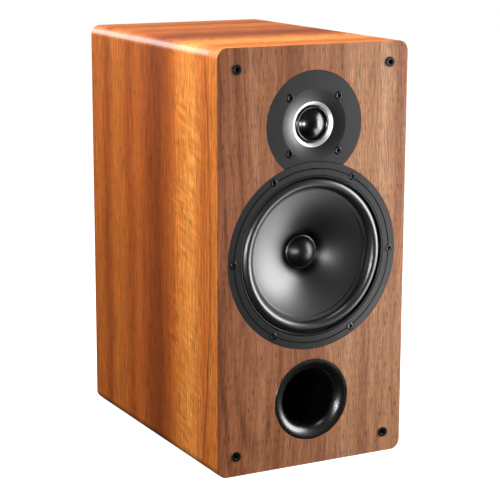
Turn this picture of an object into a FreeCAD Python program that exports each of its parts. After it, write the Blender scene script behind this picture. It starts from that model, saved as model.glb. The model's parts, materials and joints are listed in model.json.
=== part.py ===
import FreeCAD, Part
import math
import os

import Sketcher

# Two-way bookshelf loudspeaker with a front port.
# Frame: origin on the bottom face under the cabinet's centre, +Z up, front baffle facing -Y, millimetres.
# Driver, port and socket sections are drawn as (radius, depth behind the baffle's front face).

DRIVING_SIZES = {
    # cabinet
    "cab_width": 185,
    "cab_height": 370,
    "cab_depth": 265,
    "wall": 15,
    "edge_round": 9,
    "baffle_thick": 18,
    "back_thick": 16,
    "back_inset": 2,
    "rebate": 7.5,
    "brace_front": 20,
    "brace_thick": 12,
    "brace_rail": 20,
    "brace_bar": 16,
    "brace_bar_level": 178,
    "brace_corner": 18,
    "foam_thick": 12,
    "foam_front": 34,
    "foam_back": 110,
    "foam_margin": 20,
    "back_foam_low": 125,
    "back_foam_thick": 10,
    # levels of the axes above the bottom face
    "woofer_level": 187.7,
    "tweeter_level": 302,
    "port_level": 59,
    "cup_level": 80,
    # woofer
    "woofer_rim": 82.5,
    "woofer_flange": 4,
    "recess_depth": 5,
    "seat_gap": 0.3,
    "driver_gap": 0.5,
    "woofer_cutout": 73.5,
    "frame_lip": 71,
    "groove_radius": 76.5,
    "groove_width": 0.6,
    "groove_depth": 0.5,
    "ledge_inner": 64,
    "ledge_depth": 5.3,
    "ledge_thick": 2.5,
    "basket_wall": 3,
    "basket_shoulder": 12,
    "basket_step": 1,
    "basket_foot": 48,
    "basket_waist": 45,
    "spider_seat": 34,
    "spider_shelf": 39,
    "basket_floor": 40,
    "basket_back": 43,
    "basket_bore": 20,
    "window_inner": 50,
    "window_outer": 66,
    "window_half_angle": 21,
    "window_first_angle": 30,
    "roll_outer": 68.4,
    "roll_inner": 58.6,
    "rubber_thick": 0.9,
    "clamp_ring_outer": 70.5,
    "clamp_ring_inner": 69.2,
    "clamp_ring_sink": 0.3,
    "outer_lip_depth": 4.4,
    "inner_lip_depth": 4.9,
    "cone_rim": 58.5,
    "cone_edge": 54.5,
    "cone_edge_depth": 5.8,
    "cone_neck_depth": 22.5,
    "cone_thick": 0.8,
    "cone_bow": 120,
    "former_outer": 14.5,
    "former_wall": 0.3,
    "former_front": 21.5,
    "former_back": 53,
    "cap_radius": 14.2,
    "cap_height": 8.5,
    "cap_thick": 0.5,
    "cap_depth": 21.5,
    "winding_thick": 1,
    "winding_front": 40,
    "winding_back": 52,
    "spider_thick": 0.6,
    "spider_wave": 4,
    "spider_waves": 5,
    "spider_crease": 2.2,
    "spider_gap": 0.2,
    "top_plate_thick": 6,
    "top_plate_radius": 44,
    "top_plate_bore": 16.4,
    "magnet_thick": 16,
    "magnet_radius": 45,
    "magnet_bore": 22,
    "yoke_thick": 6,
    "yoke_radius": 42,
    "pole_radius": 13.6,
    "pole_vent": 5,
    "woofer_screw_circle": 154.5,
    "woofer_screws": 6,
    "woofer_screw_angle": 0,
    "woofer_head": 3.25,
    "head_height": 2.2,
    "head_room": 0.35,
    "socket_across": 3,
    "socket_depth": 1.4,
    "shank_radius": 1.9,
    "screw_length": 15,
    # tweeter
    "tweeter_rim": 46.3,
    "dish_outer": 31,
    "dish_depth": 2,
    "dish_bow": 60,
    "ring_outer": 19.6,
    "ring_inner": 16.6,
    "ring_depth": 4.1,
    "carrier_depth": 4.6,
    "boss_inner": 24.4,
    "boss_outer": 29.5,
    "motor_depth": 6,
    "tweeter_cutout": 30.4,
    "tweeter_roll_outer": 16.2,
    "tweeter_roll_inner": 13.4,
    "silk_thick": 0.3,
    "dome_radius": 12.9,
    "dome_height": 5.4,
    "dome_thick": 0.35,
    "tweeter_coil_inner": 12.45,
    "tweeter_coil_back": 9,
    "tweeter_plate_thick": 3,
    "tweeter_plate_radius": 29,
    "tweeter_plate_bore": 13.5,
    "tweeter_magnet_thick": 10,
    "tweeter_magnet_radius": 28,
    "tweeter_magnet_bore": 17,
    "tweeter_yoke_thick": 5,
    "tweeter_yoke_radius": 27,
    "tweeter_pole": 11.8,
    "tweeter_vent": 3,
    "rear_cup_radius": 24,
    "rear_cup_depth": 16,
    "rear_cup_wall": 2,
    "tweeter_screw_circle": 67,
    "tweeter_screws": 4,
    "tweeter_screw_angle": 45,
    "tweeter_head": 3.5,
    # port
    "port_rim": 36.5,
    "port_mouth": 35,
    "port_throat": 25,
    "port_wall": 2.2,
    "port_flange": 2.5,
    "port_neck": 18,
    "port_socket": 12,
    "port_tube_length": 98,
    "port_inner_round": 8,
    # grille sockets
    "socket_side": 74.5,
    "socket_inset": 18,
    "socket_rim": 4.5,
    "socket_proud": 1,
    "socket_body": 3.4,
    "socket_draft": 1,
    "socket_bore": 2.2,
    "socket_length": 11,
    "socket_reach": 9,
    # terminal cup and binding posts
    "cup_flange_width": 96,
    "cup_flange_height": 76,
    "cup_width": 70,
    "cup_height": 50,
    "cup_recess": 28,
    "cup_wall": 2.5,
    "cup_corner": 5,
    "cup_gasket": 0.5,
    "cup_screw_side": 42,
    "cup_screw_rise": 32,
    "cup_head": 2.8,
    "cup_head_height": 1.6,
    "cup_shank": 1.5,
    "cup_screw_length": 14,
    "cross_reach": 1.7,
    "cross_half": 0.35,
    "post_pitch": 19.05,
    "post_radius": 3,
    "post_bore": 2,
    "post_bore_depth": 18,
    "post_play": 0.05,
    "collar_radius": 7,
    "collar_thick": 3,
    "washer_radius": 6.2,
    "washer_thick": 1.5,
    "knob_radius": 6.4,
    "knob_length": 15,
    "knob_flutes": 12,
    "knob_skirt": 3,
    "flute_radius": 0.9,
    "post_set_back": 2,
    "post_tail": 12,
    "nut_across": 10,
    "nut_thick": 2.5,
    # crossover
    "board_width": 90,
    "board_depth": 56,
    "board_front": 40,
    "board_thick": 1.6,
    "standoff_height": 6,
    "standoff_radius": 3,
    "coil_outer": 17,
    "coil_inner": 8,
    "coil_height": 16,
    "choke_outer": 9,
    "choke_inner": 4,
    "choke_length": 12,
    "part_margin": 2,
    "bulk_cap_radius": 8,
    "bulk_cap_length": 32,
    "small_cap_radius": 6,
    "small_cap_length": 26,
    "resistor_length": 22,
    "resistor_side": 9,
    "strip_width": 18,
    "strip_height": 10,
    "strip_thick": 2,
    "wire_radius": 1.1,
    "lead_spread": 5,
}

doc = FreeCAD.newDocument("BookshelfSpeaker")
sheet = doc.addObject("Spreadsheet::Sheet", "Dims")
for row, (alias, value) in enumerate(DRIVING_SIZES.items(), start=1):
    sheet.set(f"A{row}", alias)
    sheet.set(f"B{row}", str(value))
    sheet.setAlias(f"B{row}", alias)
doc.recompute()

pieces = []

# Expressions used by many sub-parts.
HALF_WIDTH = "Dims.cab_width / 2"
FRONT = "-Dims.cab_depth / 2"
SHELL_FRONT = "-Dims.cab_depth / 2 + Dims.baffle_thick"
SHELL_LENGTH = "Dims.cab_depth - Dims.baffle_thick"
INNER_SIDE = "(Dims.cab_width / 2 - Dims.wall)"
INNER_TOP = "(Dims.cab_height - Dims.wall)"
BACK_FACE = "(Dims.cab_depth / 2 - Dims.back_inset)"
BACK_INNER = "(Dims.cab_depth / 2 - Dims.back_inset - Dims.back_thick)"
SOCKET_PLACES = [
    (side, level)
    for side in ("-Dims.socket_side", "Dims.socket_side")
    for level in ("Dims.socket_inset", "Dims.cab_height - Dims.socket_inset")
]
CUP_FLOOR = "(Dims.cab_depth / 2 - Dims.cup_recess)"


def size(expression):
    """The number that an expression of the sheet comes to."""
    return float(sheet.evalExpression(expression.replace("Dims.", "")))


def corner_places(side, rise, level="0"):
    """The four places that mirror each other across the middle and about a level."""
    return [(f"{x_way} * {side}", f"{level} + {z_way} * {rise}") for x_way in (-1, 1) for z_way in (-1, 1)]


def new_body(name):
    """An empty body that is written out under its own name."""
    body = doc.addObject("PartDesign::Body", name)
    body.Label = name
    body.AllowCompound = True
    pieces.append(body)
    return body


def place(piece, x_at="0", y_at="0", z_at="0"):
    """Bind the piece's position in the speaker's frame."""
    piece.setExpression("Placement.Base.x", x_at)
    piece.setExpression("Placement.Base.y", y_at)
    piece.setExpression("Placement.Base.z", z_at)


def origin_item(body, role):
    """The body's own origin plane or axis."""
    return next(item for item in body.Origin.OriginFeatures if item.Role == role)


def new_sketch(body, plane, lift="0"):
    """A sketch on one of the body's origin planes, lifted along the plane's normal."""
    sketch = body.newObject("Sketcher::SketchObject", f"{body.Name}_sketch")
    sketch.AttachmentSupport = [(origin_item(body, plane), "")]
    sketch.MapMode = "FlatFace"
    sketch.setExpression("AttachmentOffset.Base.z", lift)
    return sketch


def bind(sketch, constraint, expression):
    """Add a constraint whose value follows an expression of the sheet."""
    index = sketch.addConstraint(constraint)
    sketch.setExpression(f"Constraints[{index}]", expression)


def fix_point(sketch, edge, end, x_at, y_at):
    """Tie one end of an edge to its place in the sketch."""
    bind(sketch, Sketcher.Constraint("DistanceX", -1, 1, edge, end, size(x_at)), x_at)
    bind(sketch, Sketcher.Constraint("DistanceY", -1, 1, edge, end, size(y_at)), y_at)


def arc_between(start, end, radius, turn):
    """The shorter arc of a radius between two points; turn is 1 anticlockwise, -1 clockwise."""
    chord = end - start
    half = chord.Length / 2
    rise = math.sqrt(max(radius * radius - half * half, 0))
    left = FreeCAD.Vector(-chord.y, chord.x, 0).normalize()
    centre = start + chord * 0.5 + left * (turn * rise)
    outward = left * -turn
    return Part.Arc(start, centre + outward * radius, end)


def outline(sketch, steps):
    """Draw one closed outline.

    Each step is (x, y) for a straight edge to that corner, or (x, y, radius, turn) for an arc to it.
    A half circle spans a level chord, so its centre is tied to the chord's height.
    """
    corners = [FreeCAD.Vector(size(step[0]), size(step[1]), 0) for step in steps]
    first = sketch.GeometryCount
    tails = []
    heads = []
    for index, step in enumerate(steps):
        start = corners[index - 1]
        end = corners[index]
        turn = 1
        if len(step) == 2:
            edge = sketch.addGeometry(Part.LineSegment(start, end))
        else:
            turn = step[3]
            radius = size(step[2])
            edge = sketch.addGeometry(arc_between(start, end, radius, turn))
            if math.isclose((end - start).Length, 2 * radius):
                bind(sketch, Sketcher.Constraint("DistanceY", -1, 1, edge, 3, size(step[1])), step[1])
            else:
                bind(sketch, Sketcher.Constraint("Radius", edge, radius), step[2])
        tails.append(1 if turn > 0 else 2)
        heads.append(2 if turn > 0 else 1)
    for index, step in enumerate(steps):
        edge = first + index
        following = (index + 1) % len(steps)
        joint = Sketcher.Constraint("Coincident", edge, heads[index], first + following, tails[following])
        sketch.addConstraint(joint)
        fix_point(sketch, edge, heads[index], step[0], step[1])


def circle(sketch, x_at, y_at, radius):
    """Draw a full circle."""
    centre = FreeCAD.Vector(size(x_at), size(y_at), 0)
    edge = sketch.addGeometry(Part.Circle(centre, FreeCAD.Vector(0, 0, 1), size(radius)))
    bind(sketch, Sketcher.Constraint("Radius", edge, size(radius)), radius)
    fix_point(sketch, edge, 3, x_at, y_at)


def hexagon(sketch, x_at, y_at, across):
    """Draw a regular hexagon given across its flats."""
    corner = f"({across} / 2 / cos(30))"
    steps = []
    for index in range(6):
        angle = 60 * index
        steps.append((f"{x_at} + {corner} * cos({angle})", f"{y_at} + {corner} * sin({angle})"))
    outline(sketch, steps)


def rectangle(sketch, x_low, x_high, y_low, y_high):
    """Draw a plain rectangle."""
    outline(sketch, [(x_low, y_low), (x_high, y_low), (x_high, y_high), (x_low, y_high)])


def rounded_rectangle(sketch, half_wide, y_low, y_high, corner):
    """Draw a rectangle about the sketch's vertical axis with rounded corners."""
    outline(sketch, [
        (f"{half_wide} - {corner}", y_low),
        (half_wide, f"{y_low} + {corner}", corner, 1),
        (half_wide, f"{y_high} - {corner}"),
        (f"{half_wide} - {corner}", y_high, corner, 1),
        (f"-({half_wide}) + {corner}", y_high),
        (f"-({half_wide})", f"{y_high} - {corner}", corner, 1),
        (f"-({half_wide})", f"{y_low} + {corner}"),
        (f"-({half_wide}) + {corner}", y_low, corner, 1),
    ])


def extrude(body, sketch, kind, length, reverse=False):
    """A Pad or Pocket of a stated length."""
    feature = body.newObject(f"PartDesign::{kind}", f"{body.Name}_{kind.lower()}")
    feature.Profile = sketch
    feature.setExpression("Length", length)
    feature.Reversed = reverse
    return feature


def pad_back(body, sketch, length):
    """Thicken an upright sketch towards the back of the cabinet."""
    return extrude(body, sketch, "Pad", length, reverse=True)


def cut_back(body, sketch, length):
    """Cut from an upright sketch towards the back of the cabinet."""
    return extrude(body, sketch, "Pocket", length)


def taper(feature, angle):
    """Narrow a pad or pocket with its length."""
    feature.setExpression("TaperAngle", f"-{angle}")


def turn_about(body, sketch, axis="V_Axis"):
    """A full turn of a section about an axis of its sketch."""
    feature = body.newObject("PartDesign::Revolution", f"{body.Name}_turn")
    feature.Profile = sketch
    feature.ReferenceAxis = (sketch, [axis])
    feature.Angle = 360
    return feature


def repeat_round(body, originals, axis_role, count):
    """Repeat features evenly about one of the body's axes."""
    feature = body.newObject("PartDesign::PolarPattern", f"{body.Name}_ring")
    feature.Originals = originals
    feature.Axis = (origin_item(body, axis_role), [""])
    feature.Angle = 360
    feature.setExpression("Occurrences", count)
    body.Tip = feature
    return feature


def mirror(body, originals, plane):
    """Repeat features on the other side of an origin plane."""
    feature = body.newObject("PartDesign::Mirrored", f"{body.Name}_mirror")
    feature.Originals = originals
    feature.MirrorPlane = (origin_item(body, plane), [""])
    body.Tip = feature
    return feature


def lathe(name, level, steps):
    """A turned piece about a driver's axis, its section given as (radius, depth) steps."""
    body = new_body(name)
    sketch = new_sketch(body, "XY_Plane")
    outline(sketch, steps)
    turn_about(body, sketch)
    place(body, y_at=FRONT, z_at=f"Dims.{level}")
    return body


def ring(name, level, inner, outer, front, back):
    """A plain turned ring."""
    return lathe(name, level, [(inner, front), (outer, front), (outer, back), (inner, back)])


def box_piece(name, x_span, y_span, z_span):
    """A rectangular block between three pairs of limits."""
    block = doc.addObject("Part::Box", name)
    block.Label = name
    for side, (low, high) in zip(("Length", "Width", "Height"), (x_span, y_span, z_span)):
        block.setExpression(side, f"({high}) - ({low})")
    place(block, x_span[0], y_span[0], z_span[0])
    pieces.append(block)
    return block


# ---------------------------------------------------------------- cabinet

def side_panel(name, side):
    """An upright side board, mitred at both ends, with half of each rounded edge."""
    bevel = "Dims.edge_round * (1 - sqrt(0.5))"
    outer = f"{side} * {HALF_WIDTH}"
    inner = f"{side} * {INNER_SIDE}"
    cut = f"{side} * ({HALF_WIDTH} - {bevel})"
    body = new_body(name)
    sketch = new_sketch(body, "XZ_Plane")
    outline(sketch, [
        (outer, "Dims.cab_height - Dims.edge_round", "Dims.edge_round", -side),
        (outer, "Dims.edge_round"),
        (cut, bevel, "Dims.edge_round", -side),
        (inner, "Dims.wall"),
        (inner, INNER_TOP),
        (cut, f"Dims.cab_height - {bevel}"),
    ])
    pad_back(body, sketch, SHELL_LENGTH)
    place(body, y_at=SHELL_FRONT)
    rebate = new_sketch(body, "XZ_Plane", f"-({SHELL_LENGTH} - Dims.back_thick - Dims.back_inset)")
    edge = f"{side} * ({HALF_WIDTH} - Dims.rebate)"
    rectangle(rebate, edge, inner, "Dims.rebate", "Dims.cab_height - Dims.rebate")
    cut_back(body, rebate, "Dims.back_thick + Dims.back_inset")


def level_panel(name, base, way):
    """The top or bottom board: base is its outer level, way is 1 when its inside is above it."""
    bevel = "Dims.edge_round * (1 - sqrt(0.5))"
    inner = f"{base} + {way} * Dims.wall"
    cut = f"{base} + {way} * {bevel}"
    body = new_body(name)
    sketch = new_sketch(body, "XZ_Plane")
    outline(sketch, [
        (f"-{HALF_WIDTH} + Dims.edge_round", base, "Dims.edge_round", way),
        (f"{HALF_WIDTH} - Dims.edge_round", base),
        (f"{HALF_WIDTH} - {bevel}", cut, "Dims.edge_round", way),
        (INNER_SIDE, inner),
        (f"-{INNER_SIDE}", inner),
        (f"-{HALF_WIDTH} + {bevel}", cut),
    ])
    pad_back(body, sketch, SHELL_LENGTH)
    place(body, y_at=SHELL_FRONT)
    rebate = new_sketch(body, "XZ_Plane", f"-({SHELL_LENGTH} - Dims.back_thick - Dims.back_inset)")
    edge = f"{base} + {way} * Dims.rebate"
    side = f"({HALF_WIDTH} - Dims.rebate)"
    rectangle(rebate, f"-{side}", side, edge, inner)
    cut_back(body, rebate, "Dims.back_thick + Dims.back_inset")


def front_baffle():
    """The veneered front board with the recesses and cut-outs of drivers, port and grille sockets."""
    body = new_body("front_baffle")
    sketch = new_sketch(body, "XZ_Plane")
    rounded_rectangle(sketch, HALF_WIDTH, "0", "Dims.cab_height", "Dims.edge_round")
    pad_back(body, sketch, "Dims.baffle_thick")
    place(body, y_at=FRONT)
    round_cuts = (
        ("Dims.woofer_level", "Dims.woofer_rim + Dims.seat_gap", "Dims.recess_depth"),
        ("Dims.tweeter_level", "Dims.tweeter_rim + Dims.seat_gap", "Dims.recess_depth"),
        ("Dims.port_level", "Dims.port_rim + Dims.seat_gap", "Dims.port_flange"),
        ("Dims.woofer_level", "Dims.woofer_cutout", "Dims.baffle_thick"),
        ("Dims.tweeter_level", "Dims.tweeter_cutout", "Dims.baffle_thick"),
        ("Dims.port_level", "Dims.port_mouth + Dims.seat_gap", "Dims.baffle_thick"),
    )
    for level, radius, depth in round_cuts:
        cut = new_sketch(body, "XZ_Plane")
        circle(cut, "0", level, radius)
        cut_back(body, cut, depth)
    sockets = new_sketch(body, "XZ_Plane")
    for x_at, z_at in SOCKET_PLACES:
        circle(sockets, x_at, z_at, "Dims.socket_body")
    taper(cut_back(body, sockets, "Dims.socket_length"), "Dims.socket_draft")
    for driver in ("woofer", "tweeter"):
        pilots = new_sketch(body, "XZ_Plane")
        reach = f"Dims.{driver}_screw_circle / 2"
        number = int(size(f"Dims.{driver}_screws"))
        for index in range(number):
            angle = f"Dims.{driver}_screw_angle + {360 * index / number}"
            z_at = f"Dims.{driver}_level + {reach} * sin({angle})"
            circle(pilots, f"{reach} * cos({angle})", z_at, "Dims.shank_radius")
        cut_back(body, pilots, "Dims.screw_length")


def back_panel():
    """The rear board, set into the rebate, with the hole for the terminal cup."""
    half = f"({HALF_WIDTH} - Dims.rebate)"
    body = new_body("back_panel")
    sketch = new_sketch(body, "XZ_Plane")
    rectangle(sketch, f"-{half}", half, "Dims.rebate", "Dims.cab_height - Dims.rebate")
    pad_back(body, sketch, "Dims.back_thick")
    place(body, y_at=BACK_INNER)
    hole = new_sketch(body, "XZ_Plane")
    half_high = "(Dims.cup_height / 2 + Dims.cup_wall + Dims.seat_gap)"
    rounded_rectangle(
        hole,
        "(Dims.cup_width / 2 + Dims.cup_wall + Dims.seat_gap)",
        f"Dims.cup_level - {half_high}",
        f"Dims.cup_level + {half_high}",
        "Dims.cup_corner",
    )
    cut_back(body, hole, "Dims.back_thick")
    pilots = new_sketch(body, "XZ_Plane", "-(Dims.back_thick + Dims.cup_gasket - Dims.cup_screw_length)")
    for x_at, z_at in corner_places("Dims.cup_screw_side", "Dims.cup_screw_rise", "Dims.cup_level"):
        circle(pilots, x_at, z_at, "Dims.cup_shank")
    cut_back(body, pilots, "Dims.cup_screw_length")


def window_brace():
    """The upright stiffening frame across the middle of the box, with two windows."""
    body = new_body("window_brace")
    sketch = new_sketch(body, "XZ_Plane")
    rectangle(sketch, f"-{INNER_SIDE}", INNER_SIDE, "Dims.wall", INNER_TOP)
    pad_back(body, sketch, "Dims.brace_thick")
    place(body, y_at="Dims.brace_front")
    windows = new_sketch(body, "XZ_Plane")
    half = f"({INNER_SIDE} - Dims.brace_rail)"
    rounded_rectangle(
        windows, half, "Dims.wall + Dims.brace_bar", "Dims.brace_bar_level - Dims.brace_bar / 2",
        "Dims.brace_corner",
    )
    rounded_rectangle(
        windows, half, "Dims.brace_bar_level + Dims.brace_bar / 2", f"{INNER_TOP} - Dims.brace_rail",
        "Dims.brace_corner",
    )
    cut_back(body, windows, "Dims.brace_thick")


def damping():
    """Foam slabs glued to the side walls and to the back panel."""
    body = new_body("side_damping_foams")
    sketch = new_sketch(body, "XZ_Plane")
    low = "Dims.wall + Dims.foam_margin / 4"
    high = f"{INNER_TOP} - Dims.foam_margin / 4"
    rectangle(sketch, f"{INNER_SIDE} - Dims.foam_thick", INNER_SIDE, low, high)
    slab = pad_back(body, sketch, "Dims.foam_back - Dims.foam_front")
    mirror(body, [slab], "YZ_Plane")
    place(body, y_at="Dims.foam_front")
    reach = f"{INNER_SIDE} - Dims.foam_thick - Dims.foam_margin / 4"
    box_piece(
        "back_damping_foam",
        (f"-({reach})", reach),
        (f"{BACK_INNER} - Dims.back_foam_thick", BACK_INNER),
        ("Dims.back_foam_low", f"{INNER_TOP} - Dims.foam_margin / 2"),
    )


def grille_sockets():
    """Four small cups with tapered barrels, pressed into the baffle for the pegs of a grille."""
    body = new_body("grille_sockets")
    rims = new_sketch(body, "XZ_Plane", "Dims.socket_proud")
    barrels = new_sketch(body, "XZ_Plane")
    bores = new_sketch(body, "XZ_Plane", "Dims.socket_proud")
    for x_at, z_at in SOCKET_PLACES:
        circle(rims, x_at, z_at, "Dims.socket_rim")
        circle(barrels, x_at, z_at, "Dims.socket_body")
        circle(bores, x_at, z_at, "Dims.socket_bore")
    pad_back(body, rims, "Dims.socket_proud")
    taper(pad_back(body, barrels, "Dims.socket_length"), "Dims.socket_draft")
    cut_back(body, bores, "Dims.socket_proud + Dims.socket_reach")
    place(body, y_at=FRONT)


# ---------------------------------------------------------------- screws

def socket_screws(name, level, circle_width, count, first_angle, head_radius):
    """A ring of socket-head screws, heads just under the flange's face."""
    body = new_body(name)
    x_at = f"{circle_width} / 2 * cos({first_angle})"
    z_at = f"{circle_width} / 2 * sin({first_angle})"
    socket = new_sketch(body, "XZ_Plane", "-Dims.head_room / 2")
    circle(socket, x_at, z_at, head_radius)
    hexagon(socket, x_at, z_at, "Dims.socket_across")
    base = new_sketch(body, "XZ_Plane", "-(Dims.head_room / 2 + Dims.socket_depth)")
    circle(base, x_at, z_at, head_radius)
    shank = new_sketch(body, "XZ_Plane", "-(Dims.head_room / 2 + Dims.head_height)")
    circle(shank, x_at, z_at, "Dims.shank_radius")
    solids = [
        pad_back(body, socket, "Dims.socket_depth"),
        pad_back(body, base, "Dims.head_height - Dims.socket_depth"),
        pad_back(body, shank, "Dims.screw_length - Dims.head_room / 2 - Dims.head_height"),
    ]
    repeat_round(body, solids, "Y_Axis", count)
    place(body, y_at=FRONT, z_at=f"Dims.{level}")


def screw_seats(body, circle_width, count, first_angle, head_radius, flange):
    """Counterbored holes for a ring of socket-head screws."""
    x_at = f"{circle_width} / 2 * cos({first_angle})"
    z_at = f"{circle_width} / 2 * sin({first_angle})"
    seat = new_sketch(body, "XZ_Plane")
    circle(seat, x_at, z_at, f"{head_radius} + Dims.head_room")
    hole = new_sketch(body, "XZ_Plane")
    circle(hole, x_at, z_at, "Dims.shank_radius + Dims.head_room")
    cuts = [
        cut_back(body, seat, "Dims.head_height + Dims.head_room / 2"),
        cut_back(body, hole, flange),
    ]
    repeat_round(body, cuts, "Y_Axis", count)


# ---------------------------------------------------------------- woofer

WINDING_OUTER = "(Dims.former_outer + Dims.winding_thick)"
TOP_PLATE_BACK = "(Dims.basket_back + Dims.top_plate_thick)"
MAGNET_BACK = "(Dims.basket_back + Dims.top_plate_thick + Dims.magnet_thick)"
YOKE_BACK = "(Dims.basket_back + Dims.top_plate_thick + Dims.magnet_thick + Dims.yoke_thick)"


def woofer_basket():
    """The die-cast frame: flange, surround ledge, six windows, spider shelf and motor floor."""
    wall_outer = "Dims.frame_lip + Dims.basket_wall / 2"
    wall_inner = "Dims.frame_lip - Dims.basket_wall / 2"
    ledge_back = "Dims.ledge_depth + Dims.ledge_thick"
    body = lathe("woofer_basket", "woofer_level", [
        ("Dims.frame_lip", "0"),
        ("Dims.woofer_rim", "0"),
        ("Dims.woofer_rim", "Dims.woofer_flange"),
        (wall_outer, "Dims.woofer_flange"),
        (wall_outer, "Dims.basket_shoulder"),
        ("Dims.basket_foot", "Dims.spider_seat + Dims.basket_wall"),
        ("Dims.basket_foot", "Dims.basket_back"),
        ("Dims.basket_bore", "Dims.basket_back"),
        ("Dims.basket_bore", "Dims.basket_floor"),
        ("Dims.spider_shelf", "Dims.basket_floor"),
        ("Dims.spider_shelf", "Dims.spider_seat"),
        ("Dims.basket_waist", "Dims.spider_seat"),
        (wall_inner, "Dims.basket_shoulder - Dims.basket_step"),
        (wall_inner, ledge_back),
        ("Dims.ledge_inner", ledge_back),
        ("Dims.ledge_inner", "Dims.ledge_depth"),
        ("Dims.frame_lip", "Dims.ledge_depth"),
    ])
    groove = new_sketch(body, "XZ_Plane")
    circle(groove, "0", "0", "Dims.groove_radius + Dims.groove_width / 2")
    circle(groove, "0", "0", "Dims.groove_radius - Dims.groove_width / 2")
    cut_back(body, groove, "Dims.groove_depth")
    screw_seats(
        body, "Dims.woofer_screw_circle", "Dims.woofer_screws", "Dims.woofer_screw_angle",
        "Dims.woofer_head", "Dims.woofer_flange",
    )
    window = new_sketch(body, "XZ_Plane", "-(Dims.basket_shoulder - 2 * Dims.basket_step)")
    inner = "Dims.window_inner"
    outer = "Dims.window_outer"
    low = "(Dims.window_first_angle - Dims.window_half_angle)"
    high = "(Dims.window_first_angle + Dims.window_half_angle)"
    outline(window, [
        (f"{outer} * cos({low})", f"{outer} * sin({low})"),
        (f"{outer} * cos({high})", f"{outer} * sin({high})", outer, 1),
        (f"{inner} * cos({high})", f"{inner} * sin({high})"),
        (f"{inner} * cos({low})", f"{inner} * sin({low})", inner, -1),
    ])
    opening = cut_back(body, window, "Dims.basket_back")
    repeat_round(body, [opening], "Y_Axis", "Dims.woofer_screws")


def woofer_surround():
    """The rubber half roll between the frame's ledge and the cone's rim."""
    radius = "((Dims.roll_outer - Dims.roll_inner) / 2)"
    thick = "Dims.rubber_thick"
    lathe("woofer_surround", "woofer_level", [
        (f"Dims.frame_lip - {thick} / 4", "Dims.outer_lip_depth"),
        (f"Dims.frame_lip - {thick} / 4", "Dims.ledge_depth"),
        (f"Dims.roll_outer - {thick}", "Dims.ledge_depth"),
        (f"Dims.roll_outer - {thick}", "Dims.outer_lip_depth"),
        (f"Dims.roll_inner + {thick}", "Dims.outer_lip_depth", f"{radius} - {thick}", -1),
        (f"Dims.roll_inner + {thick}", "Dims.cone_edge_depth"),
        ("Dims.cone_edge", "Dims.cone_edge_depth"),
        ("Dims.cone_edge", "Dims.inner_lip_depth"),
        ("Dims.roll_inner", "Dims.inner_lip_depth"),
        ("Dims.roll_inner", "Dims.outer_lip_depth"),
        ("Dims.roll_outer", "Dims.outer_lip_depth", radius, 1),
    ])


def woofer_clamp_ring():
    """The ring that holds down the surround's outer lip."""
    ring(
        "woofer_clamp_ring", "woofer_level", "Dims.clamp_ring_inner", "Dims.clamp_ring_outer",
        "Dims.clamp_ring_sink", "Dims.outer_lip_depth",
    )


def woofer_cone():
    """The flared cone from its flat rim down to the coil former."""
    thick = "Dims.cone_thick"
    lathe("woofer_cone", "woofer_level", [
        ("Dims.cone_rim", "Dims.cone_edge_depth"),
        ("Dims.cone_rim", f"Dims.cone_edge_depth + {thick}"),
        ("Dims.cone_edge", f"Dims.cone_edge_depth + {thick}"),
        ("Dims.former_outer", f"Dims.cone_neck_depth + {thick}", "Dims.cone_bow", -1),
        ("Dims.former_outer", "Dims.cone_neck_depth"),
        ("Dims.cone_edge", "Dims.cone_edge_depth", "Dims.cone_bow", 1),
    ])


def cap_shell(name, level, radius, height, thick, depth):
    """A thin spherical cap, its open side towards the back."""
    inner = f"({radius} - {thick})"
    inner_height = f"({height} - {thick})"
    outer_round = f"({radius} * {radius} + {height} * {height}) / (2 * {height})"
    inner_round = f"({inner} * {inner} + {inner_height} * {inner_height}) / (2 * {inner_height})"
    return lathe(name, level, [
        ("0", f"{depth} - {height}"),
        (radius, depth, outer_round, 1),
        (inner, depth),
        ("0", f"{depth} - {inner_height}", inner_round, -1),
    ])


def woofer_moving_parts():
    """Dust cap, coil former and winding, which travel with the cone."""
    cap_shell(
        "woofer_dust_cap", "woofer_level", "Dims.cap_radius", "Dims.cap_height", "Dims.cap_thick",
        "Dims.cap_depth",
    )
    former_inner = "Dims.former_outer - Dims.former_wall"
    ring(
        "woofer_coil_former", "woofer_level", former_inner, "Dims.former_outer", "Dims.former_front",
        "Dims.former_back",
    )
    ring(
        "woofer_coil_winding", "woofer_level", "Dims.former_outer", WINDING_OUTER, "Dims.winding_front",
        "Dims.winding_back",
    )


def woofer_spider():
    """The pleated centring disc between the shelf and the former."""
    thick = "Dims.spider_thick"
    front = f"(Dims.spider_seat - {thick})"
    inner = "(Dims.former_outer + Dims.spider_gap)"
    wave = "Dims.spider_wave"
    crease = "Dims.spider_crease"
    waves = int(size("Dims.spider_waves"))
    steps = [(inner, "Dims.spider_seat"), (inner, front)]
    for index in range(waves + 1):
        x_at = f"Dims.spider_shelf - {wave} * {waves - index}"
        turn = 1 if index % 2 else -1
        steps.append((x_at, front) if index == 0 else (x_at, front, crease, turn))
    steps.append(("Dims.basket_waist - Dims.seat_gap", front))
    steps.append(("Dims.basket_waist - Dims.seat_gap", "Dims.spider_seat"))
    for index in range(waves, -1, -1):
        x_at = f"Dims.spider_shelf - {wave} * {waves - index}"
        turn = 1 if index % 2 else -1
        if index == waves:
            steps.append((x_at, "Dims.spider_seat"))
        else:
            steps.append((x_at, "Dims.spider_seat", crease, turn))
    lathe("woofer_spider", "woofer_level", steps)


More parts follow.
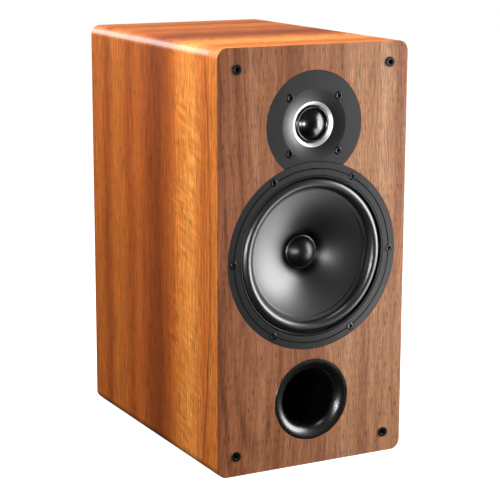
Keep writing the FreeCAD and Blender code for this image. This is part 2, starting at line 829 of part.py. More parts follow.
def woofer_motor():
    """Top plate, ring magnet and T-shaped yoke with a vented pole."""
    ring(
        "woofer_top_plate", "woofer_level", "Dims.top_plate_bore", "Dims.top_plate_radius",
        "Dims.basket_back", TOP_PLATE_BACK,
    )
    ring(
        "woofer_magnet", "woofer_level", "Dims.magnet_bore", "Dims.magnet_radius", TOP_PLATE_BACK,
        MAGNET_BACK,
    )
    lathe("woofer_yoke", "woofer_level", [
        ("Dims.pole_vent", "Dims.basket_back"),
        ("Dims.pole_radius", "Dims.basket_back"),
        ("Dims.pole_radius", MAGNET_BACK),
        ("Dims.yoke_radius", MAGNET_BACK),
        ("Dims.yoke_radius", YOKE_BACK),
        ("Dims.pole_vent", YOKE_BACK),
    ])


def woofer_gasket():
    """The foam seal between the frame's flange and the recess floor."""
    body = ring(
        "woofer_gasket", "woofer_level", "Dims.woofer_cutout", "Dims.woofer_rim", "Dims.woofer_flange",
        "Dims.recess_depth",
    )
    hole = new_sketch(body, "XZ_Plane")
    circle(hole, "Dims.woofer_screw_circle / 2", "0", "Dims.shank_radius + Dims.head_room")
    cut = cut_back(body, hole, "Dims.recess_depth")
    repeat_round(body, [cut], "Y_Axis", "Dims.woofer_screws")


# ---------------------------------------------------------------- tweeter

TWEETER_PLATE_BACK = "(Dims.motor_depth + Dims.tweeter_plate_thick)"
TWEETER_MAGNET_BACK = "(Dims.motor_depth + Dims.tweeter_plate_thick + Dims.tweeter_magnet_thick)"
TWEETER_YOKE_BACK = f"({TWEETER_MAGNET_BACK} + Dims.tweeter_yoke_thick)"


def clear_of_woofer(body):
    """Cut the lower edge away along an arc about the woofer's axis."""
    bite = new_sketch(body, "XZ_Plane")
    circle(bite, "0", "Dims.woofer_level - Dims.tweeter_level", "Dims.woofer_rim + Dims.driver_gap")
    cut_back(body, bite, "Dims.motor_depth")


def tweeter_faceplate():
    """The round front plate with its shallow dish and a boss that carries the motor."""
    body = lathe("tweeter_faceplate", "tweeter_level", [
        ("Dims.dish_outer", "0", "Dims.dish_bow", 1),
        ("Dims.tweeter_rim", "0"),
        ("Dims.tweeter_rim", "Dims.woofer_flange"),
        ("Dims.boss_outer", "Dims.woofer_flange"),
        ("Dims.boss_outer", "Dims.motor_depth"),
        ("Dims.boss_inner", "Dims.motor_depth"),
        ("Dims.boss_inner", "Dims.carrier_depth"),
        ("Dims.ring_outer", "Dims.carrier_depth"),
        ("Dims.ring_outer", "Dims.dish_depth"),
    ])
    screw_seats(
        body, "Dims.tweeter_screw_circle", "Dims.tweeter_screws", "Dims.tweeter_screw_angle",
        "Dims.tweeter_head", "Dims.motor_depth",
    )
    clear_of_woofer(body)


def tweeter_gasket():
    """The foam seal behind the faceplate."""
    body = ring(
        "tweeter_gasket", "tweeter_level", "Dims.tweeter_cutout", "Dims.tweeter_rim",
        "Dims.woofer_flange", "Dims.recess_depth",
    )
    hole = new_sketch(body, "XZ_Plane")
    reach = "Dims.tweeter_screw_circle / 2 * cos(Dims.tweeter_screw_angle)"
    circle(hole, reach, reach, "Dims.shank_radius + Dims.head_room")
    cut = cut_back(body, hole, "Dims.recess_depth")
    repeat_round(body, [cut], "Y_Axis", "Dims.tweeter_screws")
    clear_of_woofer(body)


def tweeter_trim_ring():
    """The polished conical ring around the suspension."""
    lathe("tweeter_trim_ring", "tweeter_level", [
        ("Dims.ring_outer", "Dims.dish_depth"),
        ("Dims.ring_outer", "Dims.carrier_depth"),
        ("Dims.ring_inner", "Dims.carrier_depth"),
        ("Dims.ring_inner", "Dims.ring_depth"),
    ])


def tweeter_carrier_ring():
    """The plastic ring between faceplate and motor that the suspension is glued to."""
    ring(
        "tweeter_carrier_ring", "tweeter_level", "Dims.tweeter_roll_outer + Dims.silk_thick",
        "Dims.boss_inner", "Dims.carrier_depth", "Dims.motor_depth",
    )


def tweeter_suspension():
    """The small soft half roll around the dome."""
    thick = "Dims.silk_thick"
    base = "Dims.carrier_depth"
    radius = "((Dims.tweeter_roll_outer - Dims.tweeter_roll_inner) / 2)"
    lathe("tweeter_suspension", "tweeter_level", [
        ("Dims.ring_inner - Dims.silk_thick / 3", f"{base} - {thick}"),
        ("Dims.ring_inner - Dims.silk_thick / 3", base),
        (f"Dims.tweeter_roll_outer - {thick}", base),
        (f"Dims.tweeter_roll_outer - {thick}", f"{base} - {thick}"),
        (f"Dims.tweeter_roll_inner + {thick}", f"{base} - {thick}", f"{radius} - {thick}", -1),
        (f"Dims.tweeter_roll_inner + {thick}", base),
        (f"Dims.dome_radius + {thick} / 2", base),
        (f"Dims.dome_radius + {thick} / 2", f"{base} - {thick}"),
        ("Dims.tweeter_roll_inner", f"{base} - {thick}"),
        ("Dims.tweeter_roll_outer", f"{base} - {thick}", radius, 1),
    ])


def tweeter_moving_parts():
    """The dome and the voice coil behind it."""
    cap_shell(
        "tweeter_dome", "tweeter_level", "Dims.dome_radius", "Dims.dome_height", "Dims.dome_thick",
        "Dims.carrier_depth",
    )
    ring(
        "tweeter_voice_coil", "tweeter_level", "Dims.tweeter_coil_inner", "Dims.dome_radius",
        "Dims.carrier_depth", "Dims.tweeter_coil_back",
    )


def tweeter_motor():
    """Top plate, ring magnet, yoke with a vented pole and the damped cup behind it."""
    ring(
        "tweeter_top_plate", "tweeter_level", "Dims.tweeter_plate_bore", "Dims.tweeter_plate_radius",
        "Dims.motor_depth", TWEETER_PLATE_BACK,
    )
    ring(
        "tweeter_magnet", "tweeter_level", "Dims.tweeter_magnet_bore", "Dims.tweeter_magnet_radius",
        TWEETER_PLATE_BACK, TWEETER_MAGNET_BACK,
    )
    lathe("tweeter_yoke", "tweeter_level", [
        ("Dims.tweeter_vent", "Dims.motor_depth"),
        ("Dims.tweeter_pole", "Dims.motor_depth"),
        ("Dims.tweeter_pole", TWEETER_MAGNET_BACK),
        ("Dims.tweeter_yoke_radius", TWEETER_MAGNET_BACK),
        ("Dims.tweeter_yoke_radius", TWEETER_YOKE_BACK),
        ("Dims.tweeter_vent", TWEETER_YOKE_BACK),
    ])
    cup_back = f"{TWEETER_YOKE_BACK} + Dims.rear_cup_depth"
    lathe("tweeter_rear_cup", "tweeter_level", [
        ("Dims.rear_cup_radius - Dims.rear_cup_wall", TWEETER_YOKE_BACK),
        ("Dims.rear_cup_radius", TWEETER_YOKE_BACK),
        ("Dims.rear_cup_radius", cup_back),
        ("0", cup_back),
        ("0", f"{cup_back} - Dims.rear_cup_wall"),
        ("Dims.rear_cup_radius - Dims.rear_cup_wall", f"{cup_back} - Dims.rear_cup_wall"),
    ])


# ---------------------------------------------------------------- port

FLARE_ROUND = "(Dims.port_mouth - Dims.port_throat)"
PORT_OUTER = "(Dims.port_throat + Dims.port_wall)"
SOCKET_OUTER = "(Dims.port_throat + 2 * Dims.port_wall)"
TUBE_BACK = "(Dims.port_neck + Dims.port_tube_length)"


def port_flare():
    """The rounded front mouth with a socket for the tube."""
    lathe("port_flare", "port_level", [
        ("Dims.port_mouth", "0", FLARE_ROUND, 1),
        ("Dims.port_rim", "0"),
        ("Dims.port_rim", "Dims.port_flange"),
        ("Dims.port_mouth", "Dims.port_flange"),
        (PORT_OUTER, FLARE_ROUND, f"{FLARE_ROUND} - Dims.port_flange", -1),
        (PORT_OUTER, "Dims.port_neck - Dims.port_wall"),
        (SOCKET_OUTER, "Dims.port_neck"),
        (SOCKET_OUTER, "Dims.port_neck + Dims.port_socket"),
        (PORT_OUTER, "Dims.port_neck + Dims.port_socket"),
        (PORT_OUTER, "Dims.port_neck"),
        ("Dims.port_throat", "Dims.port_neck"),
        ("Dims.port_throat", FLARE_ROUND),
    ])


def port_tube():
    """The straight duct."""
    ring("port_tube", "port_level", "Dims.port_throat", PORT_OUTER, "Dims.port_neck", TUBE_BACK)


def port_inner_flare():
    """The rounded mouth on the duct's inner end."""
    end = f"({TUBE_BACK} + Dims.port_inner_round)"
    mouth = "(Dims.port_throat + Dims.port_inner_round)"
    lathe("port_inner_flare", "port_level", [
        (PORT_OUTER, f"{TUBE_BACK} - Dims.port_socket"),
        (SOCKET_OUTER, f"{TUBE_BACK} - Dims.port_socket"),
        (SOCKET_OUTER, TUBE_BACK),
        (mouth, f"{end} - Dims.port_wall"),
        (mouth, end),
        ("Dims.port_throat", TUBE_BACK, "Dims.port_inner_round", 1),
        (PORT_OUTER, TUBE_BACK),
    ])


# ---------------------------------------------------------------- terminal cup and posts

def cup_outline(sketch, half_wide, half_high, corner):
    """A rounded rectangle about the cup's centre."""
    rounded_rectangle(sketch, half_wide, f"-{half_high}", half_high, corner)


def terminal_cup():
    """The moulded recess in the back panel that holds the binding posts."""
    body = new_body("terminal_cup")
    flange = new_sketch(body, "XZ_Plane", "-(Dims.cup_recess - Dims.back_inset + Dims.cup_gasket)")
    cup_outline(flange, "(Dims.cup_flange_width / 2)", "(Dims.cup_flange_height / 2)", "Dims.cup_corner")
    pad_back(body, flange, "Dims.back_inset - Dims.cup_gasket")
    box_wide = "(Dims.cup_width / 2 + Dims.cup_wall)"
    box_high = "(Dims.cup_height / 2 + Dims.cup_wall)"
    shell = new_sketch(body, "XZ_Plane", "Dims.cup_wall")
    cup_outline(shell, box_wide, box_high, "Dims.cup_corner")
    pad_back(body, shell, "Dims.cup_recess + Dims.cup_wall")
    hollow = new_sketch(body, "XZ_Plane")
    cup_outline(hollow, "(Dims.cup_width / 2)", "(Dims.cup_height / 2)", "(Dims.cup_corner - Dims.cup_wall)")
    cut_back(body, hollow, "Dims.cup_recess")
    holes = new_sketch(body, "XZ_Plane", "Dims.cup_wall")
    for side in (-1, 1):
        circle(holes, f"{side} * Dims.post_pitch / 2", "0", "Dims.post_radius")
    cut_back(body, holes, "Dims.cup_wall")
    screws = new_sketch(body, "XZ_Plane", "-(Dims.cup_recess - Dims.back_inset)")
    for x_at, z_at in corner_places("Dims.cup_screw_side", "Dims.cup_screw_rise"):
        circle(screws, x_at, z_at, "Dims.cup_shank")
    cut_back(body, screws, "Dims.back_inset")
    place(body, y_at=CUP_FLOOR, z_at="Dims.cup_level")


def terminal_cup_gasket():
    """The thin seal under the cup's flange."""
    body = new_body("terminal_cup_gasket")
    sketch = new_sketch(body, "XZ_Plane")
    cup_outline(sketch, "(Dims.cup_flange_width / 2)", "(Dims.cup_flange_height / 2)", "Dims.cup_corner")
    gap = "Dims.cup_wall + Dims.seat_gap"
    cup_outline(sketch, f"(Dims.cup_width / 2 + {gap})", f"(Dims.cup_height / 2 + {gap})", "Dims.cup_corner")
    for x_at, z_at in corner_places("Dims.cup_screw_side", "Dims.cup_screw_rise"):
        circle(sketch, x_at, z_at, "Dims.cup_shank")
    pad_back(body, sketch, "Dims.cup_gasket")
    place(body, y_at=BACK_FACE, z_at="Dims.cup_level")


def cross(sketch, x_at, z_at, reach, half):
    """Draw a cross for a driver recess, arm by arm."""
    steps = []
    for angle in (0, 90, 180, 270):
        for along, aside in ((reach, f"(-{half})"), (reach, half), (half, half)):
            x_step = f"{along} * cos({angle}) - {aside} * sin({angle})"
            z_step = f"{along} * sin({angle}) + {aside} * cos({angle})"
            steps.append((f"{x_at} + {x_step}", f"{z_at} + {z_step}"))
    outline(sketch, steps)


def terminal_cup_screws():
    """Four pan-head wood screws with cross recesses that hold the cup."""
    body = new_body("terminal_cup_screws")
    head = new_sketch(body, "XZ_Plane")
    shank = new_sketch(body, "XZ_Plane", "Dims.cup_screw_length")
    recess = new_sketch(body, "XZ_Plane", "-Dims.cup_head_height")
    for x_at, z_at in corner_places("Dims.cup_screw_side", "Dims.cup_screw_rise"):
        circle(head, x_at, z_at, "Dims.cup_head")
        circle(shank, x_at, z_at, "Dims.cup_shank")
        cross(recess, x_at, z_at, "Dims.cross_reach", "Dims.cross_half")
    pad_back(body, shank, "Dims.cup_screw_length")
    pad_back(body, head, "Dims.cup_head_height")
    extrude(body, recess, "Pocket", "Dims.cup_head_height / 2", reverse=True)
    place(body, y_at="Dims.cab_depth / 2", z_at="Dims.cup_level")


POST_STACK = "(Dims.collar_thick + Dims.washer_thick)"
POST_SIDES = {"black": -1, "red": 1}


def post_shafts():
    """The two threaded posts, hollow at the outer end for a 4 mm plug."""
    body = new_body("post_shafts")
    rods = new_sketch(body, "XZ_Plane", "Dims.post_tail")
    reach = f"({POST_STACK} + Dims.knob_length - Dims.post_set_back)"
    bores = new_sketch(body, "XZ_Plane", f"-({reach} - Dims.post_bore_depth)")
    for side in POST_SIDES.values():
        circle(rods, f"{side} * Dims.post_pitch / 2", "0", "Dims.post_radius")
        circle(bores, f"{side} * Dims.post_pitch / 2", "0", "Dims.post_bore")
    pad_back(body, rods, f"Dims.post_tail + {reach}")
    cut_back(body, bores, "Dims.post_bore_depth")
    place(body, y_at=CUP_FLOOR, z_at="Dims.cup_level")


def post_nuts():
    """The hexagon nuts on the inner side of the cup."""
    body = new_body("post_nuts")
    sketch = new_sketch(body, "XZ_Plane", "Dims.cup_wall + Dims.nut_thick")
    for side in POST_SIDES.values():
        hexagon(sketch, f"{side} * Dims.post_pitch / 2", "0", "Dims.nut_across")
        circle(sketch, f"{side} * Dims.post_pitch / 2", "0", "Dims.post_radius")
    pad_back(body, sketch, "Dims.nut_thick")
    place(body, y_at=CUP_FLOOR, z_at="Dims.cup_level")


def post_ring(name, side, inner, outer, start, thick):
    """A ring on a post, measured outwards from the cup's floor."""
    body = new_body(name)
    sketch = new_sketch(body, "XZ_Plane", f"-({start})")
    circle(sketch, "0", "0", outer)
    circle(sketch, "0", "0", inner)
    pad_back(body, sketch, thick)
    place(body, x_at=f"{side} * Dims.post_pitch / 2", y_at=CUP_FLOOR, z_at="Dims.cup_level")
    return body


def binding_post(colour, side):
    """One post's fixed collar, its captive clamp washer and its fluted knob."""
    play = "Dims.post_radius + Dims.post_play"
    post_ring(
        f"post_collar_{colour}", side, "Dims.post_radius", "Dims.collar_radius", "0", "Dims.collar_thick"
    )
    post_ring(
        f"clamp_washer_{colour}", side, play, "Dims.washer_radius", "Dims.collar_thick",
        "Dims.washer_thick",
    )
    knob = post_ring(
        f"post_knob_{colour}", side, play, "Dims.knob_radius", POST_STACK, "Dims.knob_length"
    )
    groove = new_sketch(knob, "XZ_Plane", f"-({POST_STACK} + Dims.knob_skirt)")
    circle(groove, "Dims.knob_radius + Dims.flute_radius / 3", "0", "Dims.flute_radius")
    flute = cut_back(knob, groove, "Dims.knob_length")
    repeat_round(knob, [flute], "Y_Axis", "Dims.knob_flutes")


# ---------------------------------------------------------------- crossover

BOARD_TOP = "(Dims.wall + Dims.standoff_height + Dims.board_thick)"
BOARD_BACK = "(Dims.board_front + Dims.board_depth)"


def crossover_board():
    """The circuit board on four standoffs above the bottom panel."""
    half = "Dims.board_width / 2"
    base = "Dims.wall + Dims.standoff_height"
    box_piece("crossover_board", (f"-{half}", half), ("Dims.board_front", BOARD_BACK), (base, BOARD_TOP))
    body = new_body("crossover_standoffs")
    sketch = new_sketch(body, "XY_Plane")
    for x_at, y_at in corner_places(
        "(Dims.board_width / 2 - Dims.standoff_radius)", "(Dims.board_depth / 2 - Dims.standoff_radius)"
    ):
        circle(sketch, x_at, y_at, "Dims.standoff_radius")
    extrude(body, sketch, "Pad", "Dims.standoff_height")
    place(body, y_at="Dims.board_front + Dims.board_depth / 2", z_at="Dims.wall")


def standing_coil():
    """The woofer's air-core coil, lying flat on the board."""
    body = new_body("woofer_inductor")
    sketch = new_sketch(body, "XY_Plane")
    circle(sketch, "0", "0", "Dims.coil_outer")
    circle(sketch, "0", "0", "Dims.coil_inner")
    extrude(body, sketch, "Pad", "Dims.coil_height")
    side = "-Dims.board_width / 2 + Dims.coil_outer + Dims.part_margin"
    place(body, side, "Dims.board_front + Dims.board_depth / 2", BOARD_TOP)


def lying_part(name, left, depth, outer, length, inner=None):
    """A round component that lies on the board along X."""
    body = new_body(name)
    sketch = new_sketch(body, "YZ_Plane")
    circle(sketch, "0", "0", outer)
    if inner:
        circle(sketch, "0", "0", inner)
    extrude(body, sketch, "Pad", length)
    place(body, left, depth, f"{BOARD_TOP} + {outer}")


def crossover_parts():
    """Coils, capacitors and resistor of the dividing network."""
    crossover_board()
    standing_coil()
    margin = "Dims.part_margin"
    row = f"{BOARD_BACK} - {margin} - Dims.bulk_cap_radius"
    lying_part("bulk_capacitor", "0", row, "Dims.bulk_cap_radius", "Dims.bulk_cap_length")
    row = f"{row} - Dims.bulk_cap_radius - {margin} - Dims.small_cap_radius"
    lying_part("tweeter_capacitor", margin, row, "Dims.small_cap_radius", "Dims.small_cap_length")
    side = f"Dims.board_width / 2 - {margin} - Dims.choke_length"
    row = f"Dims.board_front + {margin} + Dims.choke_outer"
    lying_part("tweeter_inductor", side, row, "Dims.choke_outer", "Dims.choke_length", "Dims.choke_inner")
    box_piece(
        "tweeter_resistor",
        (margin, f"{margin} + Dims.resistor_length"),
        (f"Dims.board_front + {margin}", f"Dims.board_front + {margin} + Dims.resistor_side"),
        (BOARD_TOP, f"{BOARD_TOP} + Dims.resistor_side"),
    )


def terminal_strips():
    """The two solder strips, one under the woofer's motor floor and one behind the tweeter's cup."""
    body = new_body("driver_terminal_strips")
    strips = (
        ("Dims.woofer_level - Dims.basket_foot - Dims.strip_height", "Dims.basket_back - Dims.strip_thick"),
        ("Dims.tweeter_level - Dims.strip_height / 2", f"{TWEETER_YOKE_BACK} + Dims.rear_cup_depth"),
    )
    for low, depth in strips:
        sketch = new_sketch(body, "XZ_Plane", f"-({depth})")
        rectangle(sketch, "-Dims.strip_width / 2", "Dims.strip_width / 2", low, f"{low} + Dims.strip_height")
        pad_back(body, sketch, "Dims.strip_thick")
    place(body, y_at=FRONT)


# ---------------------------------------------------------------- internal leads

def bent_wire(points):
    """A path of straight runs joined by tangent arcs, each as large as its two runs allow."""
    edges = []
    start = points[0]
    for index in range(1, len(points) - 1):
        corner = points[index]
        before = (points[index - 1] - corner).normalize()
        after = (points[index + 1] - corner).normalize()
        shorter = min((points[index - 1] - corner).Length, (points[index + 1] - corner).Length)
        reach = 0.45 * shorter
        half_turn = (math.pi - before.getAngle(after)) / 2
        radius = reach / math.tan(half_turn)
        entry = corner + before * reach
        leave = corner + after * reach
        middle_way = (before + after).normalize()
        centre_distance = math.hypot(reach, radius)
        middle = corner + middle_way * (centre_distance - radius)
        edges.append(Part.LineSegment(start, entry).toShape())
        edges.append(Part.Arc(entry, middle, leave).toShape())
        start = leave
        print(f"lead bend radius {radius:.1f} mm")
    edges.append(Part.LineSegment(start, points[-1]).toShape())
    return Part.Wire(edges)


def lead_solid(points, radius):
    """A round wire along a bent path, checked against its section times its length."""
    path = bent_wire(points)
    section = Part.Wire(Part.Circle(points[0], points[1] - points[0], radius).toShape())
    solid = path.makePipeShell([section], True, False)
    expected = math.pi * radius * radius * path.Length
    if abs(solid.Volume - expected) > 0.01 * expected:
        raise RuntimeError(f"lead volume {solid.Volume:.1f}, expected {expected:.1f}")
    return solid


def lead_pair(name, start, bends):
    """Two insulated wires side by side from one part down to the board.

    Each point is (right, back, up, half the distance between the two wires); the last bend stands
    over the wires' place on the board.
    """
    right, back, _, half = bends[-1]
    route = [start, *bends, (right, back, size(BOARD_TOP), half)]
    solids = []
    for side in (-1, 1):
        points = [FreeCAD.Vector(x + side * gap, y, z) for x, y, z, gap in route]
        solids.append(lead_solid(points, size("Dims.wire_radius")))
    feature = doc.addObject("Part::Feature", name)
    feature.Label = name
    feature.Shape = Part.makeCompound(solids)
    feature.Placement = FreeCAD.Placement()
    pieces.append(feature)


def internal_leads():
    """Leads from the posts to the board and from the board to both drivers."""
    post_end = size(f"{CUP_FLOOR} - Dims.post_tail")
    lead_pair(
        "input_leads",
        (0, post_end, size("Dims.cup_level"), size("Dims.post_pitch / 2")),
        [(0, 76.5, 80, 9.5), (0, 62, 60, 5.7), (0, 60, 34.6, 2.4)],
    )
    woofer_strip = size("Dims.woofer_level - Dims.basket_foot - Dims.strip_height / 2")
    woofer_back = size(f"{FRONT} + Dims.basket_back")
    lead_pair(
        "woofer_leads",
        (0, woofer_back, woofer_strip, size("Dims.lead_spread")),
        [(0, -69.5, 134.7, 5), (30, -30, 122.7, 4), (44, 8, 89.7, 3), (33.5, 28, 62.6, 1.5),
         (27.5, 43, 40.6, 1.5)],
    )
    tweeter_back = size(f"{FRONT} + {TWEETER_YOKE_BACK} + Dims.rear_cup_depth + Dims.strip_thick")
    lead_pair(
        "tweeter_leads",
        (0, tweeter_back, size("Dims.tweeter_level"), size("Dims.lead_spread")),
        [(0, -68.5, 302, 5), (-26, -28.5, 280, 3), (-46, 0, 227, 3), (-50, 6, 172, 3), (-48, 10, 122, 3),
         (-38, 30, 66.6, 3), (-37, 43, 42.6, 3)],
    )


# ---------------------------------------------------------------- build

for side, word in ((-1, "left"), (1, "right")):
    side_panel(f"side_panel_{word}", side)
level_panel("bottom_panel", "0", 1)
level_panel("top_panel", "Dims.cab_height", -1)
front_baffle()
back_panel()
window_brace()
damping()
grille_sockets()
woofer_basket()
woofer_gasket()
woofer_surround()
woofer_clamp_ring()
woofer_cone()
woofer_moving_parts()
woofer_spider()
woofer_motor()
socket_screws(
    "woofer_screws", "woofer_level", "Dims.woofer_screw_circle", "Dims.woofer_screws",
    "Dims.woofer_screw_angle", "Dims.woofer_head",
)
tweeter_faceplate()
tweeter_gasket()
tweeter_trim_ring()
tweeter_carrier_ring()
tweeter_suspension()
tweeter_moving_parts()
tweeter_motor()
socket_screws(
    "tweeter_screws", "tweeter_level", "Dims.tweeter_screw_circle", "Dims.tweeter_screws",
    "Dims.tweeter_screw_angle", "Dims.tweeter_head",
)
port_flare()
port_tube()
port_inner_flare()
terminal_cup()
terminal_cup_gasket()
terminal_cup_screws()
post_shafts()
post_nuts()
for colour, side in POST_SIDES.items():
    binding_post(colour, side)
crossover_parts()
terminal_strips()
internal_leads()

doc.recompute()

for item in doc.Objects:
    if "Invalid" in item.State or "Error" in item.State:
        raise RuntimeError(f"{item.Label} failed: {item.State}")
for piece in pieces:
    if piece.Shape.isNull() or not piece.Shape.isValid():
        raise RuntimeError(f"{piece.Label} has no valid shape")

os.makedirs("parts", exist_ok=True)
for piece in pieces:
    piece.Shape.exportStep(f"parts/{piece.Label}.step")
    print(f"{piece.Label}: {len(piece.Shape.Solids)} solids, {piece.Shape.Volume:.1f} mm3")
print(f"{len(pieces)} pieces")
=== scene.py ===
import json
import math

import bmesh
import bpy
from mathutils import Matrix, Vector


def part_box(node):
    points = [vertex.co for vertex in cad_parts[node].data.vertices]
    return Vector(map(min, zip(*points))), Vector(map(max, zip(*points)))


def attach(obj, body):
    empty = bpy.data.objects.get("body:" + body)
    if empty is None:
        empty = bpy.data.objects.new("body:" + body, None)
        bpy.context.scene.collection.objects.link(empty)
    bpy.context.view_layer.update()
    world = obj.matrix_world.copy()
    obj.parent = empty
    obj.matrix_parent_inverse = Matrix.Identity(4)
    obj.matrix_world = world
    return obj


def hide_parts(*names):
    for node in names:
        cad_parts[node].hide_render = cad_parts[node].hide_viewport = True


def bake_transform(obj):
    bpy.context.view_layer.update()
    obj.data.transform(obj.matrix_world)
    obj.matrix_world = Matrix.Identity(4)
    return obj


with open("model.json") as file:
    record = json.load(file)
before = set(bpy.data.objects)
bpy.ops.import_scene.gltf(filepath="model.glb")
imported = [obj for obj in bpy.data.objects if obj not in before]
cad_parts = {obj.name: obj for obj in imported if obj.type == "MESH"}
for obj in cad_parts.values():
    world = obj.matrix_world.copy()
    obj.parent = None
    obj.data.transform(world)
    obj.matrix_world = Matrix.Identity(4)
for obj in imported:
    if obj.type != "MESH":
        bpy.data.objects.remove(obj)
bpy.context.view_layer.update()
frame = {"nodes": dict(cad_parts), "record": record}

MM = 0.001

# ---------------------------------------------------------------- places, from the frame

BAFFLE_LOW, BAFFLE_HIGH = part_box("front_baffle")
FRONT_Y = BAFFLE_LOW.y
BACK_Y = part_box("top_panel")[1].y
WIDTH = BAFFLE_HIGH.x - BAFFLE_LOW.x
HEIGHT = BAFFLE_HIGH.z - BAFFLE_LOW.z
DEPTH = BACK_Y - FRONT_Y


def axis_level(node):
    """The height of a turned node's axis."""
    low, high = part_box(node)
    return (low.z + high.z) / 2


WOOFER_Z = axis_level("woofer_cone")
TWEETER_Z = axis_level("tweeter_dome")
PORT_Z = axis_level("port_flare")

# ---------------------------------------------------------------- driver sizes, in millimetres

GROOVE_RADIUS = 76.5
WOOFER_SCREW_REACH = 154.5 / 2
WOOFER_SCREW_COUNT = 6
WOOFER_SCREW_HEAD = 3.25
TWEETER_SCREW_REACH = 67 / 2
TWEETER_SCREW_COUNT = 4
TWEETER_SCREW_HEAD = 3.5
SCREW_SHANK = 1.9
HEXAGON_ACROSS = 3.0
SOCKET_RIM = 4.5
KNOB_FLUTES = 12
FLUTE_CENTRE = 6.7
FLUTE_RADIUS = 0.9

# ---------------------------------------------------------------- node graphs


class Graph:
    """A small builder for one material's nodes."""

    def __init__(self, name):
        self.material = bpy.data.materials.new(name)
        self.material.use_nodes = True
        self.tree = self.material.node_tree
        self.tree.nodes.clear()
        self.output = self.tree.nodes.new("ShaderNodeOutputMaterial")
        self.shader = self.tree.nodes.new("ShaderNodeBsdfPrincipled")
        self.tree.links.new(self.shader.outputs["BSDF"], self.output.inputs["Surface"])
        self.place = self.tree.nodes.new("ShaderNodeTexCoord").outputs["Object"]

    def put(self, socket, value):
        """Link a socket, or set its value."""
        if isinstance(value, bpy.types.NodeSocket):
            self.tree.links.new(value, socket)
        else:
            socket.default_value = value

    def math(self, operation, first, second=0.0, third=0.0, clamp=False):
        node = self.tree.nodes.new("ShaderNodeMath")
        node.operation = operation
        node.use_clamp = clamp
        for socket, value in zip(node.inputs, (first, second, third)):
            self.put(socket, value)
        return node.outputs[0]

    def remap(self, value, low, high, to_low=0.0, to_high=1.0, smooth=True):
        node = self.tree.nodes.new("ShaderNodeMapRange")
        node.interpolation_type = "SMOOTHSTEP" if smooth else "LINEAR"
        for socket, item in zip(node.inputs, (value, low, high, to_low, to_high)):
            self.put(socket, item)
        return node.outputs[0]

    def split(self, vector=None):
        node = self.tree.nodes.new("ShaderNodeSeparateXYZ")
        self.put(node.inputs[0], vector or self.place)
        return node.outputs

    def radius_from(self, axis_z):
        """The distance from an axis that runs along the depth."""
        x, _, z = self.split()
        rise = self.math("SUBTRACT", z, axis_z)
        return self.math("SQRT", self.math("ADD", self.math("POWER", x, 2.0), self.math("POWER", rise, 2.0)))

    def join(self, x_value, y_value, z_value):
        node = self.tree.nodes.new("ShaderNodeCombineXYZ")
        for socket, value in zip(node.inputs, (x_value, y_value, z_value)):
            self.put(socket, value)
        return node.outputs[0]

    def stretch(self, x_value, x_scale, y_value, y_scale, offset=0.0):
        """A place made of two coordinates, each stretched by its own factor."""
        x_part = self.math("MULTIPLY", x_value, x_scale)
        y_part = self.math("MULTIPLY", y_value, y_scale)
        return self.join(x_part, y_part, offset)

    def noise(self, vector, scale, detail=3.0, rough=0.5, twist=0.0):
        node = self.tree.nodes.new("ShaderNodeTexNoise")
        self.put(node.inputs["Vector"], vector)
        node.inputs["Scale"].default_value = scale
        node.inputs["Detail"].default_value = detail
        node.inputs["Roughness"].default_value = rough
        node.inputs["Distortion"].default_value = twist
        return node.outputs["Fac"]

    def ramp(self, value, stops, smooth=True):
        node = self.tree.nodes.new("ShaderNodeValToRGB")
        node.color_ramp.interpolation = "EASE" if smooth else "LINEAR"
        elements = node.color_ramp.elements
        while len(elements) < len(stops):
            elements.new(0.5)
        for element, (position, colour) in zip(elements, stops):
            element.position = position
            element.color = colour
        self.put(node.inputs[0], value)
        return node.outputs[0]

    def blend(self, share, first, second, mode="MIX"):
        node = self.tree.nodes.new("ShaderNodeMix")
        node.data_type = "RGBA"
        node.blend_type = mode
        self.put(node.inputs[0], share)
        self.put(node.inputs[6], first)
        self.put(node.inputs[7], second)
        return node.outputs[2]

    def scale_colour(self, colour, factor):
        """Multiply a colour by a number socket."""
        return self.blend(1.0, colour, self.join(factor, factor, factor), "MULTIPLY")

    def bump(self, height, strength, distance, rounding=0.0):
        """Relief from a height, with edges shaded as rounded to a radius."""
        node = self.tree.nodes.new("ShaderNodeBump")
        if rounding:
            rounded = self.tree.nodes.new("ShaderNodeBevel")
            rounded.samples = 6
            rounded.inputs["Radius"].default_value = rounding
            self.tree.links.new(rounded.outputs[0], node.inputs["Normal"])
        node.inputs["Strength"].default_value = strength
        node.inputs["Distance"].default_value = distance
        self.put(node.inputs["Height"], height)
        self.put(self.shader.inputs["Normal"], node.outputs[0])
        return node.outputs[0]

    def set(self, **values):
        """Set or link the shader's own sockets by name, with _ for a space."""
        for name, value in values.items():
            self.put(self.shader.inputs[name.replace("_", " ")], value)
        return self


def colour(red, green, blue):
    """A display colour given in 0-255 steps, as linear light."""
    def linear(step):
        share = step / 255
        return share / 12.92 if share <= 0.04045 else ((share + 0.055) / 1.055) ** 2.4
    return (linear(red), linear(green), linear(blue), 1.0)


# ---------------------------------------------------------------- wood

